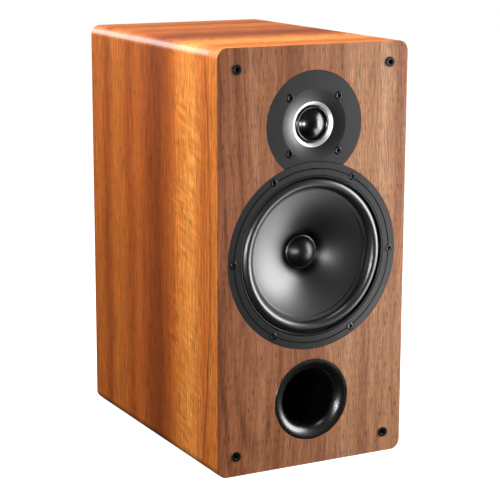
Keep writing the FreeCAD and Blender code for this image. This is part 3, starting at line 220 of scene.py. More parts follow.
def wrap_colour(graph):
    """Orange-brown wrap: bands across the depth, streaks, pores and a rippled figure near the front."""
    x, y, z = graph.split()
    side = graph.math("LESS_THAN", x, 0.0)
    falling = graph.math("SUBTRACT", 2 * HEIGHT, z)
    rise = graph.math("ADD", graph.math("MULTIPLY", side, z), graph.math(
        "MULTIPLY", graph.math("SUBTRACT", 1.0, side), falling))
    along = graph.math("ADD", graph.math("ADD", x, WIDTH / 2), rise)
    wander = graph.noise(graph.stretch(along, 4.0, y, 30.0), 1.0, 4, 0.6)
    depth = graph.math("DIVIDE", graph.math("SUBTRACT", y, FRONT_Y), DEPTH)
    swayed = graph.math("ADD", depth, graph.math("MULTIPLY", graph.math("SUBTRACT", wander, 0.5), 0.07))
    base = graph.ramp(swayed, [
        (0.0, colour(206, 120, 52)),
        (0.06, colour(204, 115, 49)),
        (0.09, colour(196, 104, 44)),
        (0.13, colour(212, 122, 53)),
        (0.19, colour(234, 148, 69)),
        (0.26, colour(222, 134, 58)),
        (0.33, colour(186, 98, 39)),
        (0.38, colour(158, 80, 32)),
        (0.44, colour(134, 64, 26)),
        (0.49, colour(138, 67, 28)),
        (0.54, colour(158, 79, 33)),
        (0.61, colour(182, 95, 40)),
        (0.67, colour(162, 80, 33)),
        (0.73, colour(184, 100, 40)),
        (0.80, colour(190, 106, 42)),
        (0.87, colour(158, 79, 33)),
        (0.94, colour(186, 101, 41)),
        (1.0, colour(180, 97, 40)),
    ])
    streaks = graph.noise(graph.stretch(along, 9.0, y, 430.0), 1.0, 6, 0.7)
    toned = graph.scale_colour(base, graph.remap(streaks, 0.36, 0.64, 0.76, 1.2, smooth=False))
    fine = graph.noise(graph.stretch(along, 30.0, y, 760.0), 1.0, 4, 0.8)
    toned = graph.scale_colour(toned, graph.remap(fine, 0.36, 0.64, 0.6, 1.36, smooth=False))
    pores = graph.noise(graph.stretch(along, 90.0, y, 1500.0, 3.0), 1.0, 1, 0.4)
    pore_mark = graph.remap(pores, 0.56, 0.68)
    toned = graph.scale_colour(toned, graph.remap(pore_mark, 0.0, 1.0, 1.0, 0.5))
    slant = graph.math("SUBTRACT", along, graph.math("MULTIPLY", y, 0.30))
    ripple = graph.noise(graph.stretch(slant, 210.0, y, 42.0), 1.0, 2, 0.6, 0.4)
    near = graph.remap(depth, 0.09, 0.15)
    far = graph.remap(depth, 0.30, 0.42, 1.0, 0.0)
    patch = graph.noise(graph.stretch(along, 16.0, y, 55.0, 5.0), 1.0, 2)
    zone = graph.math("MULTIPLY", graph.math("MULTIPLY", near, far), graph.remap(patch, 0.35, 0.62))
    figure = graph.math("MULTIPLY", graph.math("SUBTRACT", ripple, 0.5), zone)
    toned = graph.scale_colour(toned, graph.math("ADD", 1.0, graph.math("MULTIPLY", figure, 1.5)))
    bend = graph.math("DIVIDE", graph.math("SUBTRACT", along, 0.2), 0.165)
    line = graph.math("ADD", 0.049, graph.math("MULTIPLY", graph.math("POWER", bend, 2.0), 0.042))
    gap = graph.math("ABSOLUTE", graph.math("SUBTRACT", depth, line))
    thread_fade = graph.remap(along, 0.33, 0.37, 1.0, 0.0)
    thread = graph.math("MULTIPLY", graph.remap(gap, 0.002, 0.009, 1.0, 0.0), thread_fade)
    toned = graph.scale_colour(toned, graph.math("SUBTRACT", 1.0, graph.math("MULTIPLY", thread, 0.42)))
    return toned, pore_mark, fine


def wrap_material():
    """Lacquered wrap of the sides, top and bottom."""
    graph = Graph("wood_wrap")
    tone, pores, fine = wrap_colour(graph)
    graph.set(
        Base_Color=tone,
        Roughness=graph.remap(fine, 0.3, 0.7, 0.34, 0.44),
        Specular_IOR_Level=0.1,
        Coat_Weight=0.35,
        Coat_Roughness=0.3,
    )
    graph.bump(graph.math("MULTIPLY", pores, -1.0), 0.25, 0.15 * MM, 1.6 * MM)
    return graph.material


def veneer_colour(graph):
    """Walnut veneer with upright grain, growth lines that arch at the left and open pores, with painted shade
    that makes it darker and redder towards the left.
    """
    x, _, z = graph.split()
    wander_place = graph.join(graph.math("MULTIPLY", x, 14.0), 0.0, graph.math("MULTIPLY", z, 3.2))
    wander = graph.noise(wander_place, 1.0, 3)
    shift = graph.math("MULTIPLY", graph.math("SUBTRACT", wander, 0.5), 0.03)
    across = graph.math("ADD", x, shift)
    band_place = graph.join(graph.math("MULTIPLY", across, 46.0), 0.0, graph.math("MULTIPLY", z, 1.6))
    bands = graph.noise(band_place, 1.0, 4, 0.6)
    base = graph.ramp(bands, [
        (0.28, colour(132, 82, 56)),
        (0.42, colour(174, 118, 86)),
        (0.55, colour(200, 144, 106)),
        (0.72, colour(218, 166, 129)),
    ])
    arch_x = graph.math("ADD", across, 0.30 * WIDTH)
    arch_z = graph.math("MULTIPLY", graph.math("SUBTRACT", z, 0.92 * HEIGHT), 0.11)
    squares = graph.math("ADD", graph.math("POWER", arch_x, 2.0), graph.math("POWER", arch_z, 2.0))
    reach = graph.math("SQRT", squares)
    rings = graph.math("SINE", graph.math("MULTIPLY", reach, 760.0))
    ring_mark = graph.remap(rings, 0.2, 1.0)
    left = graph.remap(x, -0.5 * WIDTH, -0.05 * WIDTH, 1.0, 0.0)
    lines = graph.math("MULTIPLY", graph.math("MULTIPLY", ring_mark, left), 0.26)
    toned = graph.scale_colour(base, graph.math("SUBTRACT", 1.0, lines))
    fine_place = graph.join(graph.math("MULTIPLY", across, 850.0), 0.0, graph.math("MULTIPLY", z, 34.0))
    fine = graph.noise(fine_place, 1.0, 4, 0.75)
    toned = graph.scale_colour(toned, graph.remap(fine, 0.36, 0.64, 0.66, 1.3, smooth=False))
    # Painted shade: the veneer is made darker and redder towards its left edge, in place of light falling
    # from the right.
    share = graph.remap(x, -0.5 * WIDTH, 0.3 * WIDTH, smooth=False)
    painted_left_shade = graph.blend(share, (0.74, 0.53, 0.43, 1.0), (1.0, 1.0, 1.0, 1.0))
    toned = graph.blend(1.0, toned, painted_left_shade, "MULTIPLY")
    pore_place = graph.join(graph.math("MULTIPLY", across, 1500.0), 2.0, graph.math("MULTIPLY", z, 130.0))
    pores = graph.noise(pore_place, 1.0, 1, 0.3)
    pore_mark = graph.remap(pores, 0.56, 0.68)
    toned = graph.scale_colour(toned, graph.remap(pore_mark, 0.0, 1.0, 1.0, 0.55))
    return toned, pore_mark, fine


def baffle_material():
    """Veneer on the baffle's front face and the wrap round its edges."""
    graph = Graph("walnut_veneer")
    front_tone, pores, fine = veneer_colour(graph)
    edge_tone, _, _ = wrap_colour(graph)
    normal = graph.tree.nodes.new("ShaderNodeNewGeometry").outputs["True Normal"]
    facing = graph.math("ABSOLUTE", graph.split(normal)[1])
    is_front = graph.math("GREATER_THAN", facing, 0.7)
    tone = graph.blend(is_front, edge_tone, front_tone)
    graph.set(Base_Color=tone, Roughness=graph.remap(fine, 0.3, 0.7, 0.4, 0.52), Specular_IOR_Level=0.12)
    graph.bump(graph.math("MULTIPLY", pores, -1.0), 0.35, 0.2 * MM, 0.8 * MM)
    return graph.material


# ---------------------------------------------------------------- other materials

def speckled(name, tone, rough, grain=900.0, spread=0.10, height=0.03, **more):
    """A moulded or painted surface with a fine uneven grain in tone, gloss and relief."""
    graph = Graph(name)
    fine = graph.noise(graph.place, grain, 3, 0.6)
    cloud = graph.noise(graph.place, 25.0, 2)
    mixed = graph.math("ADD", graph.math("MULTIPLY", fine, 0.6), graph.math("MULTIPLY", cloud, 0.4))
    shade = graph.remap(mixed, 0.3, 0.7, 1.0 - spread, 1.0 + spread)
    gloss = graph.remap(mixed, 0.3, 0.7, rough * 0.88, rough * 1.12)
    graph.set(Base_Color=graph.scale_colour(tone, shade), Roughness=gloss, **more)
    graph.bump(fine, 0.5, height * MM)
    return graph.material


def turned_metal(name, tone, rough, axis_z):
    """Metal with fine circular tool marks about an axis that runs along the depth."""
    graph = Graph(name)
    radius = graph.radius_from(axis_z)
    marks = graph.noise(graph.join(graph.math("MULTIPLY", radius, 2600.0), 0.0, 0.0), 1.0, 3)
    graph.set(
        Base_Color=graph.scale_colour(tone, graph.remap(marks, 0.3, 0.7, 0.93, 1.05)),
        Metallic=1.0,
        Roughness=graph.remap(marks, 0.3, 0.7, rough * 0.8, rough * 1.2),
    )
    graph.bump(marks, 0.3, 0.01 * MM)
    return graph.material


def wound_wire(name, tone, pitch):
    """Enamelled wire laid turn beside turn along the depth."""
    graph = Graph(name)
    _, y, z = graph.split()
    turns = graph.math("SINE", graph.math("MULTIPLY", graph.math("ADD", y, z), 2 * math.pi / pitch))
    patchy = graph.noise(graph.place, 400.0, 2)
    shade = graph.math("ADD", graph.remap(turns, -1.0, 1.0, 0.55, 1.0), graph.math("MULTIPLY", patchy, 0.2))
    graph.set(Base_Color=graph.scale_colour(tone, shade), Metallic=0.9, Roughness=0.3)
    graph.bump(turns, 0.8, 0.15 * MM)
    return graph.material


def woven(name, tone, pitch, rough=0.85):
    """Cloth or open foam with a crossed weave."""
    graph = Graph(name)
    x, y, z = graph.split()
    first = graph.math("SINE", graph.math("MULTIPLY", graph.math("ADD", x, y), 2 * math.pi / pitch))
    second = graph.math("SINE", graph.math("MULTIPLY", graph.math("SUBTRACT", z, x), 2 * math.pi / pitch))
    weave = graph.math("MULTIPLY", first, second)
    fuzz = graph.noise(graph.place, 1500.0, 2)
    height = graph.math("ADD", weave, fuzz)
    graph.set(
        Base_Color=graph.scale_colour(tone, graph.remap(height, -0.5, 1.5, 0.7, 1.2)),
        Roughness=rough, Sheen_Weight=0.3,
    )
    graph.bump(height, 0.6, 0.2 * MM)
    return graph.material


def cone_material():
    """Semi-gloss moulded cone with a faint circular texture, in shadow towards its neck."""
    graph = Graph("cone_plastic")
    radius = graph.radius_from(WOOFER_Z)
    rings = graph.noise(graph.join(graph.math("MULTIPLY", radius, 1400.0), 0.0, 0.0), 1.0, 3)
    grain = graph.noise(graph.place, 1300.0, 3, 0.6)
    mixed = graph.math("ADD", graph.math("MULTIPLY", rings, 0.5), graph.math("MULTIPLY", grain, 0.5))
    shadow = graph.remap(radius, 17 * MM, 25 * MM, 0.12, 1.0)
    shade = graph.math("MULTIPLY", shadow, graph.remap(mixed, 0.3, 0.7, 0.85, 1.12))
    graph.set(
        Base_Color=graph.scale_colour(colour(20, 19, 19), shade),
        Roughness=graph.remap(mixed, 0.3, 0.7, 0.32, 0.38),
        Specular_IOR_Level=graph.math("MULTIPLY", shadow, 0.95),
    )
    graph.bump(mixed, 0.35, 0.02 * MM)
    return graph.material


def frame_material():
    """Powder-coated frames: fine grain, and shadow in the groove that runs through the woofer's screws."""
    graph = Graph("frame_paint")
    radius = graph.radius_from(WOOFER_Z)
    off_groove = graph.math("ABSOLUTE", graph.math("SUBTRACT", radius, GROOVE_RADIUS * MM))
    shadow = graph.remap(off_groove, 0.35 * MM, 0.6 * MM, 0.12, 1.0)
    grain = graph.noise(graph.place, 1400.0, 3, 0.6)
    shade = graph.math("MULTIPLY", shadow, graph.remap(grain, 0.3, 0.7, 0.9, 1.1))
    graph.set(
        Base_Color=graph.scale_colour(colour(18, 18, 20), shade),
        Roughness=graph.remap(grain, 0.3, 0.7, 0.3, 0.38),
        Specular_IOR_Level=graph.math("MULTIPLY", shadow, 0.7),
    )
    graph.bump(grain, 0.5, 0.025 * MM)
    return graph.material


def make_materials():
    """One material for each slot of the record."""
    return {
        "wood_wrap": wrap_material(),
        "walnut_veneer": baffle_material(),
        "black_board": speckled("black_board", colour(44, 44, 46), 0.62, 700.0, 0.12, 0.06),
        "raw_board": speckled("raw_board", colour(176, 142, 104), 0.85, 500.0, 0.15, 0.1),
        "foam": woven("foam", colour(62, 62, 66), 3.0 * MM, 0.95),
        "black_plastic": speckled("black_plastic", colour(16, 16, 18), 0.3),
        "frame_paint": frame_material(),
        "black_rubber": speckled(
            "black_rubber", colour(26, 26, 27), 0.32, 1200.0, 0.06, 0.015, Specular_IOR_Level=1.0,
        ),
        "cone_plastic": cone_material(),
        "cap_gloss": speckled(
            "cap_gloss", colour(9, 8, 9), 0.34, 900.0, 0.06, 0.004, Specular_IOR_Level=0.5,
        ),
        "dome_gloss": speckled(
            "dome_gloss", colour(8, 8, 9), 0.22, 900.0, 0.05, 0.002, Specular_IOR_Level=0.8,
        ),
        "bare_aluminium": turned_metal("bare_aluminium", colour(205, 206, 208), 0.3, WOOFER_Z),
        "copper_wire": wound_wire("copper_wire", colour(196, 110, 60), 0.8 * MM),
        "spider_cloth": woven("spider_cloth", colour(170, 128, 60), 0.8 * MM),
        "plated_steel": turned_metal("plated_steel", colour(170, 172, 172), 0.3, WOOFER_Z),
        "ferrite": speckled("ferrite", colour(58, 58, 60), 0.6, 800.0, 0.2, 0.05),
        "black_steel": speckled(
            "black_steel", colour(6, 6, 7), 0.2, 1600.0, 0.1, 0.006, Specular_IOR_Level=0.9,
        ),
        "bright_ring": turned_metal("bright_ring", colour(250, 250, 250), 0.5, TWEETER_Z),
        "port_gloss": speckled(
            "port_gloss", colour(8, 8, 9), 0.28, 900.0, 0.06, 0.003, Specular_IOR_Level=0.9,
        ),
        "gold_plate": turned_metal("gold_plate", colour(222, 178, 92), 0.2, axis_level("post_shafts")),
        "knob_black": speckled("knob_black", colour(22, 22, 24), 0.2, 900.0, 0.06, 0.004),
        "knob_red": speckled("knob_red", colour(176, 20, 22), 0.2, 900.0, 0.06, 0.004),
        "board_green": speckled("board_green", colour(26, 92, 58), 0.4, 600.0, 0.15, 0.02),
        "capacitor_skin": speckled("capacitor_skin", colour(208, 176, 84), 0.3, 700.0, 0.08, 0.01),
        "ceramic": speckled("ceramic", colour(222, 218, 206), 0.7, 900.0, 0.06, 0.04),
        "lead_skin": speckled("lead_skin", colour(150, 26, 26), 0.45, 900.0, 0.08, 0.01),
    }


def paint_frame(materials):
    """Give every CAD node the material of its slot in the record."""
    for entry in frame["record"]["subparts"]:
        mesh = frame["nodes"][entry["node"]].data
        mesh.materials.clear()
        mesh.materials.append(materials[entry["material_slot"]])


# ---------------------------------------------------------------- shapes

def soften(points, radius, steps=4):
    """Round every corner of a closed outline with a small arc."""
    softened = []
    for index, corner in enumerate(points):
        here = Vector(corner)
        before = Vector(points[index - 1]) - here
        after = Vector(points[(index + 1) % len(points)]) - here
        turn = math.pi - before.angle(after)
        if turn < math.radians(20):
            softened.append(tuple(here))
            continue
        reach = min(radius, before.length * 0.45, after.length * 0.45)
        start = here + before.normalized() * reach
        end = here + after.normalized() * reach
        for step in range(steps + 1):
            share = step / steps
            low = start.lerp(here, share)
            high = here.lerp(end, share)
            softened.append(tuple(low.lerp(high, share)))
    return softened


def arc(start, end, radius, turn, steps):
    """Points of the shorter arc between two points, without the first."""
    first, last = Vector(start), Vector(end)
    chord = last - first
    rise = math.sqrt(max(radius * radius - chord.length_squared / 4, 0.0))
    left = Vector((-chord.y, chord.x)).normalized()
    centre = (first + last) / 2 + left * turn * rise
    from_angle = math.atan2(first.y - centre.y, first.x - centre.x)
    sweep = 2 * math.asin(min(chord.length / 2 / radius, 1.0)) * turn
    points = []
    for step in range(1, steps + 1):
        angle = from_angle + sweep * step / steps
        points.append((centre.x + radius * math.cos(angle), centre.y + radius * math.sin(angle)))
    return points


def finish_mesh(name, vertices, faces, material, smooth_angle=35):
    """A mesh object with consistent outward normals and smooth shading up to an angle."""
    mesh = bpy.data.meshes.new(name)
    mesh.from_pydata(vertices, [], faces)
    mesh.validate()
    work = bmesh.new()
    work.from_mesh(mesh)
    bmesh.ops.remove_doubles(work, verts=work.verts, dist=1e-7)
    bmesh.ops.recalc_face_normals(work, faces=work.faces)
    work.to_mesh(mesh)
    work.free()
    mesh.shade_smooth()
    mesh.set_sharp_from_angle(angle=math.radians(smooth_angle))
    mesh.materials.append(material)
    piece = bpy.data.objects.new(name, mesh)
    bpy.context.scene.collection.objects.link(piece)
    return piece


def lathe(name, outline, level, material, x_at=0.0, segments=160, smooth_angle=35):
    """Turn a closed outline of (radius, depth) millimetres about an axis along the depth."""
    vertices = []
    faces = []
    count = len(outline)
    for step in range(segments):
        angle = 2 * math.pi * step / segments
        for radius, depth in outline:
            reach = max(radius, 0.0) * MM
            x_place = x_at + reach * math.cos(angle)
            vertices.append((x_place, FRONT_Y + depth * MM, level + reach * math.sin(angle)))
    for step in range(segments):
        here = step * count
        there = ((step + 1) % segments) * count
        for index in range(count):
            following = (index + 1) % count
            faces.append((here + index, here + following, there + following, there + index))
    return finish_mesh(name, vertices, faces, material, smooth_angle)


def ring_stack(name, rings, material, smooth_angle=35):
    """Skin a list of equal rings of points in order, closing both ends with a fan."""
    vertices = [point for ring_points in rings for point in ring_points]
    count = len(rings[0])
    faces = []
    for level in range(len(rings) - 1):
        for index in range(count):
            following = (index + 1) % count
            here = level * count
            there = here + count
            faces.append((here + index, here + following, there + following, there + index))
    faces.append(tuple(range(count)))
    faces.append(tuple(range((len(rings) - 1) * count, len(rings) * count)))
    return finish_mesh(name, vertices, faces, material, smooth_angle)


def join_pieces(name, parts):
    """Merge copies into one piece."""
    bpy.ops.object.select_all(action="DESELECT")
    for part in parts:
        part.select_set(True)
    bpy.context.view_layer.objects.active = parts[0]
    bpy.ops.object.join()
    parts[0].name = name
    parts[0].data.name = name
    return parts[0]


def stand_in(piece, body, slot_name, *nodes):
    """Ride a finer piece on its body in place of CAD nodes."""
    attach(piece, body)
    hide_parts(*nodes)
    return piece


def flex(piece, node):
    """Bake a turned piece's place into its mesh and hide the CAD node it stands in for.
    """
    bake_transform(piece)
    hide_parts(node)


# ---------------------------------------------------------------- woofer

def woofer_front(materials):
    """Surround, clamp ring, cone, dust cap, glue bead and spider."""
    roll = [(70.78, 5.25), (70.78, 4.4), (68.6, 4.4)]
    roll += arc((68.4, 4.4), (58.6, 4.4), 4.901, -1, 32)
    roll += [(58.55, 4.9), (54.9, 4.9), (54.5, 5.1), (54.5, 5.8), (59.5, 5.8), (59.5, 4.4)]
    roll += arc((59.5, 4.4), (67.5, 4.4), 4.001, 1, 24)
    roll += [(67.5, 5.25)]
    rubber = materials["black_rubber"]
    surround = lathe("surround_roll", roll, WOOFER_Z, rubber, segments=192, smooth_angle=50)
    flex(surround, "woofer_surround")

    band = soften([(69.2, 0.3), (70.5, 0.3), (70.5, 4.4), (69.2, 4.4)], 0.35)
    clamp = lathe("clamp_ring_front", band, WOOFER_Z, materials["black_plastic"], segments=192)
    stand_in(clamp, "cabinet", "black_plastic", "woofer_clamp_ring")

    bowl = [(58.5, 5.8), (58.5, 6.6), (54.5, 6.6)]
    bowl += arc((54.5, 6.6), (14.5, 23.3), 120, -1, 40)
    bowl += [(14.5, 22.5)]
    bowl += arc((14.5, 22.5), (54.5, 5.8), 120, 1, 40)
    cone = lathe("cone_shell", bowl, WOOFER_Z, materials["cone_plastic"], segments=192)
    stand_in(cone, "woofer_moving", "cone_plastic", "woofer_cone")

    cap = [(0.0, 13.0)] + arc((0.0, 13.0), (14.2, 21.5), 16.111, 1, 24) + [(13.7, 21.5)]
    cap += arc((13.7, 21.5), (0.0, 13.5), 15.731, -1, 24)
    dust_cap = lathe("dust_cap_shell", cap, WOOFER_Z, materials["cap_gloss"], segments=128, smooth_angle=50)
    stand_in(dust_cap, "woofer_moving", "cap_gloss", "woofer_dust_cap")
    glue = soften([(13.9, 20.5), (14.7, 20.9), (15.3, 21.6), (14.9, 22.1), (14.1, 21.8)], 0.25)
    bead = lathe("dust_cap_bead", glue, WOOFER_Z, rubber, segments=128, smooth_angle=60)
    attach(bead, "woofer_moving")

    crests = [39.0 - 4.0 * index for index in range(6)]
    front = [(44.7, 33.4), (39.0, 33.4)]
    for index in range(5):
        turn = 1 if index % 2 else -1
        front += arc((crests[index], 33.4), (crests[index + 1], 33.4), 2.2, turn, 8)
    front.append((14.7, 33.4))
    back = [(radius, depth + 0.6) for radius, depth in front]
    pleats = front + back[::-1]
    cloth = materials["spider_cloth"]
    spider = lathe("spider_cloth_disc", pleats, WOOFER_Z, cloth, segments=96, smooth_angle=60)
    flex(spider, "woofer_spider")


# ---------------------------------------------------------------- tweeter

def tweeter_front(materials):
    """Polished ring, suspension and dome."""
    trim = soften([(19.6, 2.0), (19.6, 4.6), (16.6, 4.6), (16.6, 4.1)], 0.2)
    ring_piece = lathe("trim_ring_polished", trim, TWEETER_Z, materials["bright_ring"], segments=160)
    stand_in(ring_piece, "cabinet", "bright_ring", "tweeter_trim_ring")

    roll = [(16.5, 4.6), (16.5, 4.3), (16.2, 4.3)]
    roll += arc((16.2, 4.3), (13.4, 4.3), 1.41, -1, 18)
    roll += [(13.05, 4.3), (13.05, 4.6), (13.7, 4.6), (13.7, 4.3)]
    roll += arc((13.7, 4.3), (15.9, 4.3), 1.11, 1, 14)
    roll += [(15.9, 4.6)]
    gloss = materials["dome_gloss"]
    suspension = lathe("suspension_roll", roll, TWEETER_Z, gloss, segments=160, smooth_angle=50)
    flex(suspension, "tweeter_suspension")

    skin = [(0.0, -0.8)] + arc((0.0, -0.8), (12.9, 4.6), 18.11, 1, 24) + [(12.55, 4.6)]
    skin += arc((12.55, 4.6), (0.0, -0.45), 18.12, -1, 24)
    dome = lathe("dome_shell", skin, TWEETER_Z, gloss, segments=128, smooth_angle=50)
    stand_in(dome, "tweeter_moving", "dome_gloss", "tweeter_dome")


# ---------------------------------------------------------------- port, sockets, screws and knobs

def port_front(materials):
    """The flared mouth with a finely stepped curve."""
    profile = [(35.0, 0.0), (36.2, 0.0), (36.5, 0.3), (36.5, 2.5), (35.0, 2.5)]
    profile += arc((35.0, 2.5), (27.2, 10.0), 7.8, -1, 14)
    profile += [(27.2, 15.8), (29.4, 18.0), (29.4, 30.0), (27.2, 30.0), (27.2, 18.0)]
    profile += [(25.0, 18.0), (25.0, 10.0)]
    profile += arc((25.0, 10.0), (35.0, 0.0), 10.0, 1, 28)[:-1]
    flare = lathe("port_mouth", profile, PORT_Z, materials["port_gloss"], segments=192)
    stand_in(flare, "cabinet", "port_gloss", "port_flare")


def socket_pieces(materials):
    """Four rounded grille sockets."""
    low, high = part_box("grille_sockets")
    across = high.x - SOCKET_RIM * MM
    levels = (low.z + SOCKET_RIM * MM, high.z - SOCKET_RIM * MM)
    rim = [(2.2, -1.0), (SOCKET_RIM, -1.0), (SOCKET_RIM, 0.0), (3.4, 0.0)]
    cup = soften(rim + [(3.4, 11.0), (0.0, 11.0), (0.0, 9.0), (2.2, 9.0)], 0.4, 5)
    parts = []
    for side in (-across, across):
        for level in levels:
            parts.append(lathe("socket", cup, level, materials["black_plastic"], x_at=side, segments=64))
    stand_in(join_pieces("socket_cups", parts), "cabinet", "black_plastic", "grille_sockets")


def hexagon_reach(angle, across):
    """The distance to a hexagon's side at an angle, its corners on the X axis."""
    turn = (angle + math.radians(30)) % math.radians(60) - math.radians(30)
    return across / 2 / math.cos(math.radians(30) - abs(turn))


def socket_screw(centre_x, centre_z, head, material):
    """One socket-head screw, its rims softened."""
    steps = 72
    angles = [2 * math.pi * step / steps for step in range(steps)]

    def ring_of(reaches, depth):
        points = []
        for angle, reach in zip(angles, reaches):
            x_place = centre_x + reach * MM * math.cos(angle)
            points.append((x_place, FRONT_Y + depth * MM, centre_z + reach * MM * math.sin(angle)))
        return points

    def round_ring(radius, depth):
        return ring_of([radius] * steps, depth)

    def hex_ring(grow, depth):
        return ring_of([hexagon_reach(angle, HEXAGON_ACROSS) + grow for angle in angles], depth)

    rings = [
        round_ring(0.4, 15.0),
        round_ring(SCREW_SHANK, 13.6),
        round_ring(SCREW_SHANK, 2.375),
        round_ring(head - 0.1, 2.375),
        round_ring(head, 2.25),
        round_ring(head, 0.55),
        round_ring(head - 0.1, 0.33),
        round_ring(head - 0.35, 0.2),
        round_ring(head - 0.5, 0.175),
        hex_ring(0.18, 0.175),
        hex_ring(0.05, 0.22),
        hex_ring(0.0, 0.35),
        hex_ring(0.0, 1.575),
    ]
    return ring_stack("screw", rings, material)


def screw_circle(driver, count, first_angle, reach, level, head, material):
    """One driver's screws, evenly round its axis, as a single piece."""
    parts = []
    for index in range(count):
        angle = math.radians(first_angle + 360 / count * index)
        centre_z = level + reach * MM * math.sin(angle)
        parts.append(socket_screw(reach * MM * math.cos(angle), centre_z, head, material))
    stand_in(join_pieces(driver + "_screw_set", parts), "cabinet", "black_steel", driver + "_screws")


def screw_pieces(materials):
    """The driver screws."""
    steel = materials["black_steel"]
    screw_circle(
        "woofer", WOOFER_SCREW_COUNT, 0, WOOFER_SCREW_REACH, WOOFER_Z, WOOFER_SCREW_HEAD, steel,
    )
    screw_circle(
        "tweeter", TWEETER_SCREW_COUNT, 45, TWEETER_SCREW_REACH, TWEETER_Z, TWEETER_SCREW_HEAD, steel,
    )


def fluted_reach(angle, outer):
    """A knob's radius at an angle, less where a round flute cuts in."""
    step = 2 * math.pi / KNOB_FLUTES
    off = (angle + step / 2) % step - step / 2
    sideways = FLUTE_CENTRE * math.sin(off)
    if abs(sideways) >= FLUTE_RADIUS:
        return outer
    return min(outer, FLUTE_CENTRE * math.cos(off) - math.sqrt(FLUTE_RADIUS ** 2 - sideways ** 2))


def knob_piece(colour_name, materials):
    """One fluted knob with rounded ends."""
    node = "post_knob_" + colour_name
    low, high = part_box(node)
    centre_x, centre_z = (low.x + high.x) / 2, (low.z + high.z) / 2
    steps = 240
    sections = [
        (3.05, 0.0, False),
        (6.1, 0.0, False),
        (6.4, 0.3, False),
        (6.4, 2.7, False),
        (6.25, 3.0, False),
        (6.4, 3.02, True),
        (6.4, 14.2, True),
        (6.2, 14.7, True),
        (5.7, 15.0, False),
        (3.5, 15.0, False),
        (3.05, 14.6, False),
    ]
    vertices = []
    for outer, depth, fluted in sections:
        for step in range(steps):
            angle = 2 * math.pi * step / steps
            reach = (fluted_reach(angle, outer) if fluted else outer) * MM
            x_place = centre_x + reach * math.cos(angle)
            vertices.append((x_place, low.y + depth * MM, centre_z + reach * math.sin(angle)))
    faces = []
    for level in range(len(sections)):
        here = level * steps
        there = ((level + 1) % len(sections)) * steps
        for index in range(steps):
            following = (index + 1) % steps
            faces.append((here + index, here + following, there + following, there + index))
    piece = finish_mesh("knob_" + colour_name, vertices, faces, materials["knob_" + colour_name])
    stand_in(piece, colour_name + "_knob", "knob_" + colour_name, node)


# ---------------------------------------------------------------- floor, light and camera

def make_floor():
    """A pale floor that isn't part of the object."""
    bpy.ops.mesh.primitive_plane_add(size=60.0, location=(0, 0, 0))
    floor = bpy.context.object
    floor.name = "floor"
    graph = Graph("pale_floor")
    graph.set(Base_Color=(0.35, 0.35, 0.35, 1.0), Roughness=0.9, Specular_IOR_Level=0.0)
    graph.set(Emission_Color=(1.0, 1.0, 1.0, 1.0), Emission_Strength=0.97)
    floor.data.materials.append(graph.material)
    floor.visible_glossy = False
    floor.visible_diffuse = False


def make_world():
    """Dim all round, brightest high up and behind the object, and white to the camera."""
    world = bpy.data.worlds.new("studio")
    bpy.context.scene.world = world
    world.use_nodes = True
    tree = world.node_tree
    tree.nodes.clear()
    place = tree.nodes.new("ShaderNodeTexCoord").outputs["Generated"]
    split = tree.nodes.new("ShaderNodeSeparateXYZ")
    tree.links.new(place, split.inputs[0])

    def fade(along, low, high, to_low, to_high):
        node = tree.nodes.new("ShaderNodeMapRange")
        node.interpolation_type = "SMOOTHSTEP"
        for socket, value in zip(node.inputs, (0.0, low, high, to_low, to_high)):
            socket.default_value = value
        tree.links.new(along, node.inputs[0])
        return node.outputs[0]

    def backdrop(strength):
        node = tree.nodes.new("ShaderNodeBackground")
        node.inputs["Color"].default_value = (1, 1, 1, 1)
        node.inputs["Strength"].default_value = strength
        return node

    product = tree.nodes.new("ShaderNodeMath")
    product.operation = "MULTIPLY"
    tree.links.new(fade(split.outputs[1], -0.15, 0.75, 0.10, 0.18), product.inputs[0])
    tree.links.new(fade(split.outputs[2], -0.08, 0.16, 0.12, 1.0), product.inputs[1])
    around = backdrop(1.0)
    tree.links.new(product.outputs[0], around.inputs["Strength"])
    seen = backdrop(1.0)
    path = tree.nodes.new("ShaderNodeLightPath")
    mix = tree.nodes.new("ShaderNodeMixShader")
    tree.links.new(path.outputs["Is Camera Ray"], mix.inputs[0])
    tree.links.new(around.outputs[0], mix.inputs[1])
    tree.links.new(seen.outputs[0], mix.inputs[2])
    output = tree.nodes.new("ShaderNodeOutputWorld")
    tree.links.new(mix.outputs[0], output.inputs["Surface"])


def area_light(name, place, target, wide, high, power, reflections_only=False):
    """A soft box that faces a point."""
    lamp = bpy.data.lights.new(name, "AREA")
    lamp.shape = "RECTANGLE"
    lamp.size = wide
    lamp.size_y = high
    lamp.energy = power
    holder = bpy.data.objects.new(name, lamp)
    holder.location = place
    holder.rotation_euler = (Vector(target) - Vector(place)).to_track_quat("-Z", "Y").to_euler()
    holder.visible_camera = False
    holder.visible_diffuse = not reflections_only
    bpy.context.scene.collection.objects.link(holder)


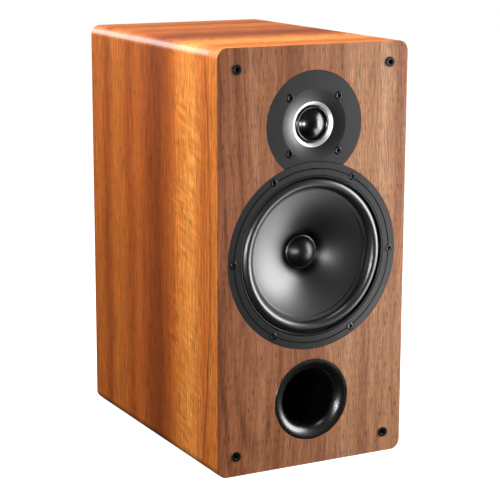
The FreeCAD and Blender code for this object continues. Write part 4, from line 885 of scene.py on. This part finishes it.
def make_lights():
    """Soft boxes on the right, left, behind and above, and three cards seen only in reflections."""
    area_light("right_box", (0.62, -0.385, 0.31), (0.0, -0.385, 0.24), 0.52, 0.62, 8.7)
    area_light("floor_card", (0.49, -0.38, 0.004), (0.49, -0.38, 1.0), 0.5, 0.36, 3.0, reflections_only=True)
    area_light("right_card", (0.76, -0.68, 0.22), (0.0, -0.13, 0.2), 0.2, 0.44, 2.2, reflections_only=True)
    area_light("left_box", (-1.0, -0.85, 0.25), (0.0, -0.05, 0.2), 0.3, 0.3, 6.2)
    area_light("left_card", (-0.78, -1.34, 0.26), (0.0, -0.12, 0.19), 0.28, 0.28, 10.0, reflections_only=True)
    area_light("side_box", (-0.45, 0.0, 0.62), (-0.09, 0.0, 0.25), 0.3, 0.4, 2.3)
    area_light("back_box", (-0.6, 1.35, 0.85), (-0.09, 0.0, 0.37), 0.8, 0.7, 13.5)
    area_light("top_fill", (-0.2, 0.2, 1.9), (0.0, 0.0, 0.3), 1.2, 1.2, 42.0)


def make_camera():
    """A long lens, slightly above and to the left of the speaker."""
    yaw, pitch, roll = math.radians(28.0), math.radians(12.2), math.radians(0.2)
    forward = Vector((math.sin(yaw) * math.cos(pitch), math.cos(yaw) * math.cos(pitch), -math.sin(pitch)))
    data = bpy.data.cameras.new("camera")
    data.lens = 120.9
    data.sensor_width = 36.0
    data.clip_start = 0.05
    data.clip_end = 100.0
    camera = bpy.data.objects.new("camera", data)
    camera.location = (-0.7121, -1.356, 0.4989)
    turned = forward.to_track_quat("-Z", "Y").to_matrix().to_4x4() @ Matrix.Rotation(roll, 4, "Z")
    camera.rotation_euler = turned.to_euler()
    bpy.context.scene.collection.objects.link(camera)
    bpy.context.scene.camera = camera


# ---------------------------------------------------------------- build

materials = make_materials()
paint_frame(materials)
woofer_front(materials)
tweeter_front(materials)
port_front(materials)
socket_pieces(materials)
screw_pieces(materials)
for post in ("black", "red"):
    knob_piece(post, materials)
make_floor()
make_world()
make_lights()
make_camera()
bpy.context.scene.view_settings.view_transform = "Standard"
